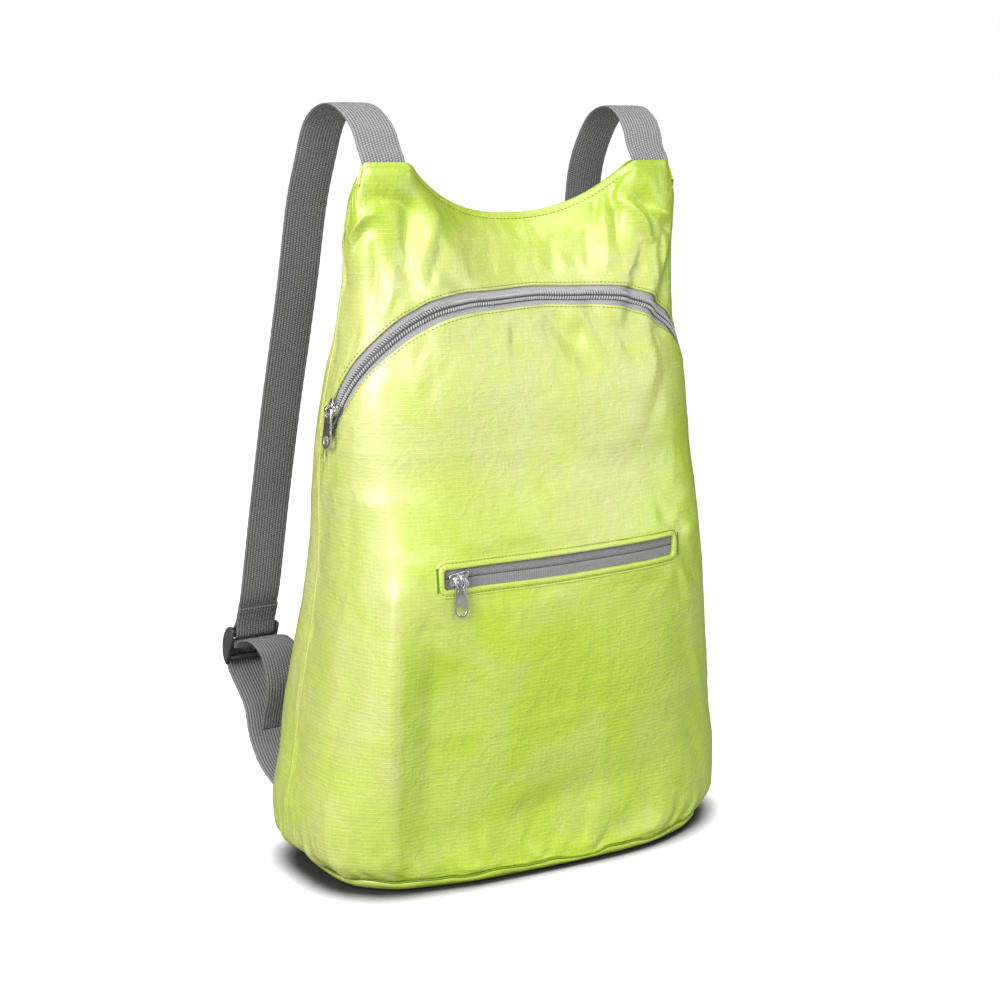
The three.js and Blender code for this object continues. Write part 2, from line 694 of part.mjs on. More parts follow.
// Webbing: a flat strip along a list of points, its width along X
function webbing(route) {
  const width = new THREE.Vector3(1, 0, 0);
  return ringBody(route.map((point, i) => {
    const along = route[Math.min(i + 1, route.length - 1)].clone().sub(route[Math.max(i - 1, 0)]);
    const across = width.clone().addScaledVector(along, -width.dot(along) / along.lengthSq()).normalize();
    const normal = along.clone().cross(across).normalize();
    const corners = [[-1, -1], [1, -1], [1, 1], [-1, 1]];
    return corners.map(([u, w]) => point.clone()
      .addScaledVector(across, (u * strapWidth) / 2)
      .addScaledVector(normal, (w * strapThickness) / 2));
  }));
}

const lean = THREE.MathUtils.degToRad(buckleTilt);
const fullSpread = strapMiddle + strapSpread;

// A point near a buckle: along runs down the strap, off runs to its rear side.
function atBuckle(side, along, off) {
  return new THREE.Vector3(
    side * fullSpread,
    buckleBack + along * Math.sin(lean) + off * Math.cos(lean),
    buckleHeight - along * Math.cos(lean) + off * Math.sin(lean),
  );
}

// An arc of webbing round a bar: angles are from the rear side of the strap, in half turns.
function roundBar(side, along, radius, from, to) {
  const steps = 8;
  return Array.from({ length: steps + 1 }, (_, i) => {
    const angle = Math.PI * THREE.MathUtils.lerp(from, to, i / steps);
    return atBuckle(side, along + radius * Math.sin(angle), radius * Math.cos(angle));
  });
}

const firstBar = -buckleLength / 2 + barInset;
const barWrap = buckleBar * 0.75 + clearance + strapThickness / 2;
const pairOffset = (strapThickness + clearance) / 2;

// Shoulder strap: tucked in the horn, over the shoulder, down behind, round the buckle's top bar
function shoulderStrap(side) {
  const spreadAt = (height) => strapMiddle + strapSpread
    * THREE.MathUtils.clamp((bagHeight - height) / (bagHeight - buckleHeight), 0, 1);
  const seamY = sectionAt(1).seam * bagDepth;
  const route = [
    new THREE.Vector3(side * strapMiddle, seamY, bagHeight - strapTucked),
    new THREE.Vector3(side * strapMiddle, seamY, bagHeight),
  ];
  for (const row of rowsOf(strapRouteColumns, strapRoute)) {
    const height = row.height * bagHeight;
    const out = spreadAt(height) + (side > 0 ? row.lean * rightLean : 0);
    route.push(new THREE.Vector3(side * out, row.back * bagDepth, height));
  }
  route.push(atBuckle(side, firstBar - strapFold * 1.4, pairOffset));
  route.push(atBuckle(side, firstBar - strapFold, pairOffset));
  const smooth = new THREE.CatmullRomCurve3(route, false, 'centripetal').getSpacedPoints(strapSteps);
  return [
    ...smooth,
    atBuckle(side, firstBar - strapFold * 0.6, pairOffset),
    atBuckle(side, firstBar - barWrap * 2.2, pairOffset * 1.3),
    ...roundBar(side, firstBar, barWrap, -0.12, 1.12),
    atBuckle(side, firstBar - barWrap * 2.2, -pairOffset * 1.3),
    atBuckle(side, firstBar - strapFold * 0.6, -pairOffset),
    atBuckle(side, firstBar - strapFold, -pairOffset),
  ];
}

// Adjuster: from the back's lower corner up behind the buckle, round its middle bar, then the free tail
function adjusterStrap(side) {
  const anchorShare = anchorHeight / bagHeight;
  const across = acrossAt('back', side * fullSpread, anchorShare);
  const anchor = bagPoint('back', across, anchorShare, 0);
  const lift = (y, z) => new THREE.Vector3(side * fullSpread, y, z);
  const up = [
    lift(anchor.y - anchorTuck, anchor.z),
    ...rowsOf(anchorRouteColumns, anchorRoute).map((row) => lift(
      THREE.MathUtils.lerp(anchor.y, buckleBack, row.back),
      THREE.MathUtils.lerp(anchor.z, buckleHeight, row.height),
    )),
    atBuckle(side, buckleLength / 2 + barInset, barWrap),
    atBuckle(side, barWrap, barWrap),
  ];
  const tail = [
    atBuckle(side, 0, -barWrap),
    ...rowsOf(tailRouteColumns, tailRoute).map((row) => (
      lift(buckleBack + row.back * tailReach, buckleHeight + row.height * tailReach)
    )),
  ];
  return [
    ...new THREE.CatmullRomCurve3(up, false, 'centripetal').getSpacedPoints(20),
    ...roundBar(side, 0, barWrap, 0, -1).slice(1, -1),
    ...new THREE.CatmullRomCurve3(tail, false, 'centripetal').getSpacedPoints(24),
  ];
}

// Ladder-lock buckle: two D-shaped rails and three bars
function buckle(side) {
  const half = buckleLength / 2;
  const inner = strapWidth / 2 + railGap;
  const rail = new THREE.Shape();
  rail.moveTo(-half, -railSole);
  rail.lineTo(half, -railSole);
  rail.quadraticCurveTo(half, buckleDepth * 0.5, half * 0.45, buckleDepth * 0.78);
  rail.quadraticCurveTo(0, buckleDepth, -half * 0.45, buckleDepth * 0.78);
  rail.quadraticCurveTo(-half, buckleDepth * 0.5, -half, -railSole);
  const pieces = [-1, 1].map((end) => {
    const plate = new THREE.ExtrudeGeometry(rail, {
      depth: buckleRail,
      bevelEnabled: false,
      curveSegments: 8,
    });
    plate.translate(0, 0, end > 0 ? inner : -inner - buckleRail);
    return plate;
  });
  for (const along of [firstBar, 0, half - buckleBar]) {
    const bar = new THREE.BoxGeometry(buckleBar, buckleBar, inner * 2 + buckleRail);
    bar.translate(along, 0, 0);
    pieces.push(bar);
  }
  const geometry = joined(pieces);
  const down = new THREE.Vector3(0, Math.sin(lean), -Math.cos(lean));
  const rear = new THREE.Vector3(0, Math.cos(lean), Math.sin(lean));
  const sideways = down.clone().cross(rear);
  const place = new THREE.Matrix4().makeBasis(down, rear, sideways);
  place.setPosition(side * fullSpread, buckleBack, buckleHeight);
  return geometry.applyMatrix4(place);
}

// The cloth of the back with its clearance, which trims the sewn end of each adjuster
const backTrim = toManifold(backSheet(-clearance, trimDepth));

for (const [name, side] of [['left', -1], ['right', 1]]) {
  addPiece(`strap_${name}`, webbing(shoulderStrap(side)), webbingGrey);
  const adjuster = toManifold(webbing(adjusterStrap(side))).subtract(backTrim);
  addPiece(`adjuster_${name}`, fromManifold(adjuster), webbingGrey);
  addPiece(`buckle_${name}`, buckle(side), blackPlastic);
}

export default bag;
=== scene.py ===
# %% [markdown]
# A packable backpack of thin lime ripstop, standing filled out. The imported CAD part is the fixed
# frame: it gives every place, and each soft piece below is built on the same measured surface and
# then takes the place of its plain solid.

# %% The frame
import math

import bmesh
import bpy
import numpy as np
from mathutils import Matrix, Vector


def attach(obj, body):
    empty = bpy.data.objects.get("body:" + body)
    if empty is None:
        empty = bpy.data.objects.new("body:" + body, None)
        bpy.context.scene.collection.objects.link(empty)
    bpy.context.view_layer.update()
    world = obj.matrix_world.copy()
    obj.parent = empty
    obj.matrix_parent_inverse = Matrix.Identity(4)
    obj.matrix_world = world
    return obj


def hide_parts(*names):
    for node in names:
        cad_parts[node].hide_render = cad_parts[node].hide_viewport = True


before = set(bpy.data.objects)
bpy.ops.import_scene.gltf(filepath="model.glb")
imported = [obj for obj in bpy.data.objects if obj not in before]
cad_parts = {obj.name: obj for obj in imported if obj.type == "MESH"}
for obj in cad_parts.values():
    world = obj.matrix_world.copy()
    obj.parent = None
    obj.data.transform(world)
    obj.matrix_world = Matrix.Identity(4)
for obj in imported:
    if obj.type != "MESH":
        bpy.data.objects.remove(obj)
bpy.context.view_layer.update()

BAG = "bag"

# %% [markdown]
# The camera stands where the photograph was taken: a little left of the front, at about the
# height of the neck, looking slightly down. A long lens keeps the outline calm.

# %% Camera
CAMERA_DISTANCE = 0.930
CAMERA_HEIGHT = 0.410
CAMERA_TURN = math.radians(31)
CAMERA_PITCH = math.radians(12.55)
camera_data = bpy.data.cameras.new("camera")
camera_data.sensor_width = 36
camera_data.lens = 36 * 1.640
camera = bpy.data.objects.new("camera", camera_data)
camera.location = (-CAMERA_DISTANCE * math.sin(CAMERA_TURN),
                   -CAMERA_DISTANCE * math.cos(CAMERA_TURN), CAMERA_HEIGHT)
camera.rotation_euler = (math.radians(90) - CAMERA_PITCH, 0, -CAMERA_TURN)
bpy.context.scene.collection.objects.link(camera)
bpy.context.scene.camera = camera
print("camera at", [round(x, 3) for x in camera.location])

# %% [markdown]
# The sizes repeat the ones that the CAD source is driven by, here in metres, because the scene
# can't read that file. The bag's form is a short table of sections from the base up: how wide it
# is, where the side seam lies, how far front and back bulge from it, and how square the oval is.

# %% Named sizes
BAG_HEIGHT = 0.396
BAG_HALF_WIDTH = 0.134
BAG_DEPTH = 0.116
CLOTH_WALL = 0.0012
CLEARANCE = 0.0003
BASE_RIM = 0.0065
NECK_DROP, NECK_SHARE, NECK_FORWARD = 0.028, 0.70, 0.016
SHOULDER_DROP, SHOULDER_SHARE = 0.011, 0.95
NECK_ROUND_TOP, NECK_ROUND_LOW = 0.05, 0.55
ZIP_APEX, ZIP_END, ZIP_ARCH, ZIP_WINDOW = 0.874, 0.60, 1.86, 0.0125
TAPE_WIDTH, COIL_WIDTH, COIL_HEIGHT = 0.026, 0.0052, 0.0025
POCKET_HEIGHT, POCKET_LENGTH, POCKET_OPENING = 0.181, 0.150, 0.011
STRAP_WIDTH, STRAP_THICKNESS = 0.025, 0.0014
FOOT = (BASE_RIM + CLEARANCE) / BAG_HEIGHT
TAPE_INSET = CLOTH_WALL + 1.5 * CLEARANCE

#   height, width, seam, front, back, square
SECTIONS = np.array([
    [0.000, 0.850, 0.060, 0.640, 0.320, 3.4],
    [0.050, 1.000, 0.080, 0.630, 0.375, 4.2],
    [0.200, 0.963, 0.075, 0.650, 0.395, 4.1],
    [0.450, 0.870, 0.005, 0.625, 0.305, 3.6],
    [0.600, 0.852, 0.000, 0.520, 0.205, 3.5],
    [0.700, 0.828, -0.030, 0.465, 0.143, 3.2],
    [0.780, 0.784, -0.050, 0.420, 0.112, 2.6],
    [0.850, 0.766, -0.085, 0.355, 0.088, 2.6],
    [0.910, 0.768, -0.110, 0.255, 0.069, 3.0],
    [0.960, 0.766, -0.155, 0.137, 0.044, 3.6],
    [1.000, 0.751, -0.210, 0.000, 0.000, 4.0],
])

# %% [markdown]
# Every soft piece asks the same question: where is the cloth at this place across the face and at
# this height? One function answers it, for whole arrays of places at once.

# %% The bag's surface
def smooth(low, high, x):
    t = np.clip((x - low) / (high - low), 0, 1)
    return t * t * (3 - 2 * t)


def section_at(height):
    i = np.clip(np.searchsorted(SECTIONS[:, 0], height, side="left") - 1, 0, len(SECTIONS) - 2)
    a, b = SECTIONS[i], SECTIONS[i + 1]
    before, after = SECTIONS[np.maximum(i - 1, 0)], SECTIONS[np.minimum(i + 2, len(SECTIONS) - 1)]
    span = (b - a)[..., :1]
    t = np.clip((height[..., None] - a[..., :1]) / span, 0, 1)
    slope_a = (b - before) / (b - before)[..., :1] * span
    slope_b = (after - a) / (after - a)[..., :1] * span
    rise = b - a
    square = 3 * rise - 2 * slope_a - slope_b
    cube = slope_a + slope_b - 2 * rise
    value = a + t * slope_a + t**2 * square + t**3 * cube
    return value[..., 1:]


#   across, height, long, wide, turn, depth: the broad folds and dents, as the CAD source has them
FRONT_FOLDS = np.array([
    [0.10, 0.800, 0.060, 0.020, -25, 0.035], [0.22, 0.815, 0.055, 0.018, -10, 0.030],
    [0.42, 0.850, 0.090, 0.022, 25, 0.040], [0.58, 0.820, 0.080, 0.020, 40, 0.035],
    [-0.50, 0.850, 0.080, 0.022, -20, 0.030], [-0.30, 0.870, 0.050, 0.020, -50, 0.025],
    [-0.10, 0.620, 0.180, 0.060, 10, 0.025], [0.30, 0.560, 0.120, 0.050, 60, 0.022],
    [-0.30, 0.330, 0.200, 0.040, 5, 0.022], [0.15, 0.300, 0.160, 0.060, -35, -0.030],
    [0.48, 0.230, 0.200, 0.035, -12, 0.030], [-0.62, 0.420, 0.220, 0.050, 4, 0.028],
    [-0.05, 0.100, 0.140, 0.030, 80, 0.020], [-0.50, 0.000, 0.200, 0.120, 0, 0.075],
    [0.30, 0.000, 0.180, 0.120, 0, -0.050],
])
BACK_FOLDS = np.array([
    [-0.45, 0.700, 0.140, 0.035, 20, 0.025], [0.45, 0.700, 0.140, 0.035, -20, 0.025],
    [0.00, 0.450, 0.200, 0.070, 0, 0.030], [-0.60, 0.180, 0.100, 0.040, 60, 0.025],
    [0.60, 0.180, 0.100, 0.040, -60, 0.025],
])


def fold_depth(folds, across, height):
    depth = np.zeros(np.broadcast(across, height).shape)
    for a, h, long, wide, turn, deep in folds:
        dx = (across - a) * 1.3 * BAG_HALF_WIDTH
        dz = (height - h) * BAG_HEIGHT
        turn = math.radians(turn)
        along = (dx * math.sin(turn) + dz * math.cos(turn)) / (long * BAG_HEIGHT)
        beside = (dx * math.cos(turn) - dz * math.sin(turn)) / (wide * BAG_HEIGHT)
        depth += deep * BAG_DEPTH * np.exp(-along**2 - beside**2)
    return depth


def dip_share(share, height):
    """How far across the neckline's dip a place is: 1 at its end and beyond, its corner rounded."""
    width = NECK_ROUND_LOW + (NECK_ROUND_TOP - NECK_ROUND_LOW) * smooth(0.88, 1, height)
    far = np.abs(share) / NECK_SHARE
    near = np.maximum(width - np.abs(far - 1), 0) / width
    return np.minimum(far, 1) - near**2 * width / 4


def bag_points(face, across, height, inset=0.0):
    """Points of the bag. across is -1 at the left seam and 1 at the right, height 0 to 1."""
    across, height, inset = np.broadcast_arrays(np.asarray(across, float), np.asarray(height, float), inset)
    width, seam, front, back, square = np.moveaxis(section_at(height), -1, 0)
    side, bulge, folds = (-1, front, FRONT_FOLDS) if face == "front" else (1, back, BACK_FOLDS)
    angle = (1 - across) * np.pi / 2
    cos, sin = np.cos(angle), np.abs(np.sin(angle))
    radius = (np.abs(cos) ** square + sin**square) ** (-1 / square)
    slot = (STRAP_THICKNESS / 2 + CLEARANCE) * 1.9 * smooth(0.93, 1, height)
    bulge = bulge * BAG_DEPTH + CLOTH_WALL + slot
    inwards = inset + (1 - smooth(0.9, 0.98, height)) * sin * fold_depth(folds, across, height)
    share = cos * radius
    in_dip = dip_share(share, height)
    camber = NECK_FORWARD * smooth(0.6, 1, height) * (1 - in_dip**2)
    past = np.maximum(np.abs(share) - SHOULDER_SHARE, 0) / (1 - SHOULDER_SHARE)
    drop = (NECK_DROP * (1 - in_dip**2.4) * smooth(0.6, 1, height)
            + SHOULDER_DROP * past**2 * smooth(0.8, 1, height))
    x = (width * BAG_HALF_WIDTH - inwards) * share
    y = seam * BAG_DEPTH + camber + side * ((bulge - inwards) * sin * radius + CLEARANCE / 2)
    return np.stack([x, y, height * BAG_HEIGHT - drop], -1)


def zip_height(across):
    return ZIP_APEX - (ZIP_APEX - ZIP_END) * np.abs(across) ** ZIP_ARCH


def beside_zip(across, distance):
    """Height share of a line beside the main zip, that far above (positive) or below its middle."""
    place, step = np.clip(across, -0.985, 0.985), 0.01
    a = bag_points("front", place - step, zip_height(place - step))
    b = bag_points("front", place + step, zip_height(place + step))
    slope = (b - a)[..., 2] / np.hypot((b - a)[..., 0], (b - a)[..., 1])
    return zip_height(across) + distance * np.hypot(1, slope) / BAG_HEIGHT


def zip_half_window(across):
    """Half the width of tape that shows. The two cloth edges meet just before the side seam."""
    return (ZIP_WINDOW / 2 + 0.0006) * (1 - smooth(0.925, 0.960, np.abs(across)))


def across_at(face, x, height):
    """The place across a face where the cloth is x metres from the middle, for arrays too."""
    x, height = np.broadcast_arrays(np.asarray(x, float), np.asarray(height, float))
    low, high = np.full(x.shape, -1.0), np.full(x.shape, 1.0)
    for _ in range(32):
        middle = (low + high) / 2
        left = bag_points(face, middle, height)[..., 0] < x
        low, high = np.where(left, middle, low), np.where(left, high, middle)
    return (low + high) / 2


def bag_frame(across, height, inset=0.0, face="front"):
    """Place, direction across and outward normal, as arrays."""
    step = 0.004
    right = bag_points(face, across + step, height, inset) - bag_points(face, across - step, height, inset)
    up = bag_points(face, across, height + step, inset) - bag_points(face, across, height - step, inset)
    right /= np.linalg.norm(right, axis=-1, keepdims=True)
    up /= np.linalg.norm(up, axis=-1, keepdims=True)
    normal = np.cross(right, up) * (1 if face == "front" else -1)
    normal /= np.linalg.norm(normal, axis=-1, keepdims=True)
    return bag_points(face, across, height, inset), right, normal


print("front at mid height:", bag_points("front", 0.0, 0.5).round(4))

# %% [markdown]
# Thin nylon never lies quite smooth. Three things move it: creases with a known place, puckers that
# gather along every seam, and a faint crumple left from being folded into its own pocket. Each is a
# small height, in metres, added along the cloth's normal, so the outline stays the measured one.

# %% Seeded noise in space
NECK_HEM = 0.0030
LATTICE = np.random.default_rng(17).uniform(-1, 1, (32, 32, 32))


def noise(points, size, shift=0.0):
    """Smooth noise from -1 to 1 that changes over about size metres."""
    p = np.asarray(points) / size + shift
    i = np.floor(p).astype(int)
    f = p - i
    f = f * f * f * (f * (f * 6 - 15) + 10)
    total = 0
    for dx in (0, 1):
        for dy in (0, 1):
            for dz in (0, 1):
                corner = LATTICE[(i[..., 0] + dx) % 32, (i[..., 1] + dy) % 32, (i[..., 2] + dz) % 32]
                weight = ((f[..., 0] if dx else 1 - f[..., 0]) * (f[..., 1] if dy else 1 - f[..., 1])
                          * (f[..., 2] if dz else 1 - f[..., 2]))
                total = total + corner * weight
    return total


def crumple(points):
    """Crisp little ridges where folded cloth has been pressed, on softer swells."""
    warped = points + 0.010 * np.stack([noise(points, 0.05, s) for s in (1.3, 5.1, 9.7)], -1)
    ridges = 0.5 - np.abs(noise(warped, 0.034, 2.2)) + 0.5 * (0.4 - np.abs(noise(warped, 0.015, 7.9)))
    patches = smooth(-0.35, 0.5, noise(points, 0.07, 3.3))
    return ridges * (0.35 + 0.65 * patches) + 0.9 * noise(points, 0.06, 4.4)


# %% Creases with a place, from one end (across, height) to the other
#   across, height, across, height, width, rise: lengths in millimetres, valleys are negative
FRONT_CREASES = [
    [0.335, 0.982, 0.335, 0.925, 2.6, -4.6], [0.350, 0.970, 0.490, 0.900, 2.4, 4.2],
    [0.400, 0.962, 0.500, 0.925, 2.8, -4.4], [0.350, 0.975, 0.400, 0.992, 2.2, 2.2],
    [0.295, 0.992, 0.278, 0.962, 2.6, -2.4], [0.312, 0.985, 0.300, 0.955, 2.6, 2.2],
    [0.460, 0.938, 0.640, 0.918, 2.6, 2.2], [0.540, 0.918, 0.640, 0.900, 2.8, -2.4],
    [0.550, 0.893, 0.565, 0.862, 3.6, -2.4], [0.420, 0.868, 0.330, 0.848, 2.6, -2.2],
    [0.400, 0.880, 0.330, 0.862, 3.0, 1.2], [0.180, 0.925, 0.200, 0.893, 2.6, -1.2],
    [0.305, 0.945, 0.285, 0.890, 3.4, 1.8], [0.240, 0.950, 0.225, 0.890, 3.0, -1.6],
    [0.120, 0.955, 0.100, 0.900, 4.0, -0.9], [0.060, 0.940, 0.055, 0.895, 3.5, 0.8],
    [0.370, 0.852, 0.520, 0.812, 5.0, -2.4], [-0.400, 0.958, -0.505, 0.878, 6.5, -5.2],
    [-0.325, 0.962, -0.400, 0.900, 4.5, 2.6], [-0.620, 0.960, -0.400, 0.952, 5.5, -4.4],
    [-0.840, 0.920, -0.600, 0.936, 3.0, 2.6], [-0.800, 0.905, -0.640, 0.918, 3.6, -2.6],
    [-0.335, 0.918, -0.450, 0.832, 3.6, -1.8], [-0.640, 0.900, -0.700, 0.820, 7.0, -2.0],
    [-0.240, 0.945, -0.300, 0.905, 5.0, 1.0], [-0.560, 0.870, -0.600, 0.810, 5.0, 1.1],
    [-0.520, 0.430, -0.440, 0.050, 7.0, 3.4], [-0.400, 0.380, -0.355, 0.060, 8.0, -3.6],
    [-0.300, 0.790, -0.420, 0.700, 7.0, -1.0], [-0.100, 0.820, -0.130, 0.770, 4.0, -1.0],
    [0.020, 0.825, 0.030, 0.780, 4.0, -0.9], [0.160, 0.820, 0.140, 0.780, 3.5, -0.9],
    [0.300, 0.790, 0.340, 0.730, 4.5, -1.2], [0.420, 0.740, 0.360, 0.690, 4.0, 1.2],
    [0.430, 0.700, 0.330, 0.620, 6.0, -1.2], [0.350, 0.560, 0.440, 0.500, 6.0, -1.1],
    [0.415, 0.440, 0.520, 0.380, 4.0, -1.4], [0.400, 0.430, 0.460, 0.360, 4.5, 1.2],
    [0.430, 0.470, 0.540, 0.480, 4.0, 1.1], [-0.400, 0.440, -0.440, 0.370, 4.0, -1.1],
    [-0.420, 0.460, -0.500, 0.490, 4.0, 1.0], [0.450, 0.330, 0.520, 0.130, 7.0, 1.6],
    [0.400, 0.180, 0.470, 0.060, 6.0, -2.0], [0.250, 0.120, 0.280, 0.045, 5.0, -1.3],
    [0.120, 0.100, 0.140, 0.040, 5.0, 1.1], [-0.060, 0.090, -0.080, 0.035, 5.0, -1.2],
    [-0.200, 0.100, -0.220, 0.030, 5.0, 1.1], [-0.560, 0.110, -0.540, 0.030, 5.0, -1.4],
    [-0.680, 0.120, -0.660, 0.030, 5.0, 1.1], [-0.640, 0.300, -0.720, 0.160, 8.0, -1.2],
    [-0.700, 0.560, -0.760, 0.420, 8.0, -1.0], [0.000, 0.640, 0.200, 0.560, 9.0, -0.9],
    [-0.900, 0.238, 0.900, 0.225, 2.6, 0.35], [0.140, 0.040, 0.120, 0.420, 2.6, 0.35],
    [-0.160, 0.480, -0.150, 0.800, 2.6, 0.30], [-0.800, 0.625, 0.800, 0.610, 2.6, 0.30],
]
BACK_CREASES = [
    [-0.30, 0.960, -0.36, 0.880, 5.0, -1.8], [0.30, 0.960, 0.36, 0.880, 5.0, -1.8],
    [-0.62, 0.200, -0.45, 0.300, 6.0, 1.8], [0.62, 0.200, 0.45, 0.300, 6.0, 1.8],
    [-0.60, 0.120, -0.35, 0.160, 5.0, -1.5], [0.60, 0.120, 0.35, 0.160, 5.0, -1.5],
    [-0.10, 0.800, 0.05, 0.700, 7.0, -1.3], [0.20, 0.560, 0.05, 0.420, 8.0, 1.3],
    [-0.20, 0.380, -0.05, 0.240, 7.0, -1.4],
]


def creases(table, across, height):
    rise = np.zeros(across.shape)
    u, v = across * 1.3 * BAG_HALF_WIDTH, height * BAG_HEIGHT
    for a0, h0, a1, h1, width, up in table:
        start = np.array([a0 * 1.3 * BAG_HALF_WIDTH, h0 * BAG_HEIGHT])
        way = np.array([a1 * 1.3 * BAG_HALF_WIDTH, h1 * BAG_HEIGHT]) - start
        t = ((u - start[0]) * way[0] + (v - start[1]) * way[1]) / (way @ way)
        near = np.clip(t, 0, 1)
        off = np.hypot(u - start[0] - near * way[0], v - start[1] - near * way[1]) / (width * 0.001)
        taper = 0.35 + 0.65 * np.sin(np.pi * np.clip(near * 0.8 + 0.15, 0, 1))
        rise += up * 0.00115 * taper * np.exp(0.35 - np.sqrt(off**2 + 0.1225)) * smooth(4.5, 2.5, off)
    return rise


# %% Puckers along the seams, and all the relief together
def gather(distance, along, reach, rise, size, seed):
    """Little tucks square to a seam: strongest beside it, gone after reach metres."""
    line = np.stack([along + 0.25 * distance * noise_line(along, 0.05, seed), 0.35 * distance, along * 0], -1)
    wave = noise(line, size, seed) + 0.5 * noise(line, size * 0.45, seed + 3.1)
    fade = np.exp(-np.maximum(distance, 0) / reach) * smooth(0, 0.003, distance)
    return rise * fade * wave


def noise_line(along, size, seed):
    return noise(np.stack([along, along * 0 + seed, along * 0], -1), size, seed)


def pocket_distance(points):
    """Metres outside the pocket slot, seen from the front."""
    dx = np.maximum(np.abs(points[..., 0]) - POCKET_LENGTH / 2, 0)
    dz = np.maximum(np.abs(points[..., 2] - POCKET_HEIGHT) - POCKET_OPENING / 2, 0)
    return np.hypot(dx, dz)


def relief(face, across, height, points):
    up = height * BAG_HEIGHT
    arc = across * 1.45 * BAG_HALF_WIDTH
    side = (1 - np.abs(across)) * 1.45 * BAG_HALF_WIDTH
    total = 0.00105 * crumple(points)
    total = total + gather(up - FOOT * BAG_HEIGHT, arc, 0.014, 0.0023, 0.0085, 2.0)
    total = total + gather(side, up, 0.016, 0.0011, 0.013, 6.0)
    total = total + gather((1 - height) * BAG_HEIGHT, arc, 0.012, 0.0009, 0.011, 8.0)
    if face == "front":
        above = (height - zip_height(across)) * BAG_HEIGHT * 0.8
        beside = np.abs(above) - ZIP_WINDOW / 2
        total = total + gather(beside, arc + 0.31 * (above > 0), 0.013, 0.0011, 0.010, 4.0)
        slot = pocket_distance(points)
        total = total + gather(slot - 0.004, points[..., 0] + points[..., 2] * 0.3, 0.014, 0.0010, 0.010, 9.0)
        total = total + creases(FRONT_CREASES, across, height)
        total = total * smooth(0.002, 0.012, beside) * smooth(0.004, 0.014, slot)
    else:
        total = total + creases(BACK_CREASES, across, height)
    below_edge = (1 - height) * BAG_HEIGHT
    foot = -0.0007 * np.exp(-np.abs(up - FOOT * BAG_HEIGHT) / 0.0018)
    hem = -0.0004 * np.exp(-((below_edge - NECK_HEM) / 0.0009) ** 2) * smooth(0, 0.004, side)
    calm = (smooth(0, 0.003, up - FOOT * BAG_HEIGHT) * smooth(0, 0.007, side)
            * smooth(0.001, 0.010, below_edge))
    return foot + hem + total * calm


def grid_normals(points, outward_sign):
    n = np.cross(np.gradient(points, axis=0), np.gradient(points, axis=1)) * outward_sign
    return n / np.maximum(np.linalg.norm(n, axis=-1, keepdims=True), 1e-12)


# %% [markdown]
# A panel is a grid of points with a measured UV map: its two numbers are metres across and up the
# cloth, so the weave keeps its real size everywhere and follows the cloth, as threads do.

# %% Turning grids into meshes
def new_object(name, mesh, material=None, body=BAG, stands_for=()):
    piece = bpy.data.objects.new(name, mesh)
    bpy.context.scene.collection.objects.link(piece)
    if material:
        mesh.materials.append(material)
    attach(piece, body)
    if stands_for:
        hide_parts(*stands_for)
    return piece


def grid_mesh(name, points, uv, flip=False, keep=None, closed=False):
    """points is columns x rows x 3. keep says which cells stay, closed joins the last column to the first."""
    columns, rows = points.shape[:2]
    i, j = np.meshgrid(np.arange(columns if closed else columns - 1), np.arange(rows - 1), indexing="ij")
    right = (i + 1) % columns
    quads = np.stack([i * rows + j, right * rows + j, right * rows + j + 1, i * rows + j + 1], -1)
    quads = quads[keep] if keep is not None else quads.reshape(-1, 4)
    if flip:
        quads = quads[:, ::-1]
    used, index = np.unique(quads, return_inverse=True)
    mesh = bpy.data.meshes.new(name)
    mesh.from_pydata(points.reshape(-1, 3)[used].tolist(), [], index.reshape(-1, 4).tolist())
    flat_uv = uv.reshape(-1, 2)[quads.reshape(-1)]
    mesh.uv_layers.new(name="UVMap").data.foreach_set("uv", flat_uv.ravel())
    mesh.shade_smooth()
    mesh.update()
    return mesh


def cloth_uv(points):
    """Metres across from the middle column, and metres up, for a grid of points."""
    step = np.linalg.norm(np.diff(points, axis=0), axis=-1)
    across = np.concatenate([np.zeros((1, points.shape[1])), np.cumsum(step, axis=0)])
    across -= across[len(points) // 2]
    return np.stack([across, points[..., 2]], -1)


def thicken(piece, thickness):
    solid = piece.modifiers.new("cloth thickness", "SOLIDIFY")
    solid.thickness = thickness
    solid.offset = -1
    return piece


# %% Materials come first as plain names, and get their nodes further on
def new_material(name):
    material = bpy.data.materials.new(name)
    material.use_nodes = True
    return material


RIPSTOP = new_material("lime_ripstop")
ZIP_TAPE = new_material("light_zip_tape")
POCKET_TAPE = new_material("dark_zip_tape")
COIL = new_material("zip_coil_nylon")
METAL = new_material("bright_zip_metal")
WEBBING = new_material("grey_webbing")
PLASTIC = new_material("dark_buckle_plastic")
THREAD = new_material("lime_thread")
GREY_THREAD = new_material("grey_thread")

# %% [markdown]
# The front and the yoke are two pieces of cloth with the zip between them. Each ends in a turned
# edge: the last rows of the grid curl in and under, down to the zip tape.

# %% Front, yoke and back
COLUMNS, FRONT_ROWS, YOKE_ROWS = 281, 151, 91
NYLON_THICKNESS, TAPE_THICKNESS = 0.0005, 0.0006
NECK_PINCH, PINCH_FROM = 0.0024, 0.955
SEAM_HEIGHT = 0.0068
across = np.linspace(-1, 1, COLUMNS)[:, None]


def seam_rise(points):
    """How far the base seam wanders up or down, in metres, at places along it."""
    flat = points * np.array([1.0, 1.0, 0.0])
    return 0.0026 * noise(flat, 0.026, 5.5) + 0.0013 * noise(flat, 0.009, 2.5)


def foot_heights(face):
    return FOOT + seam_rise(bag_points(face, across, FOOT)) / BAG_HEIGHT


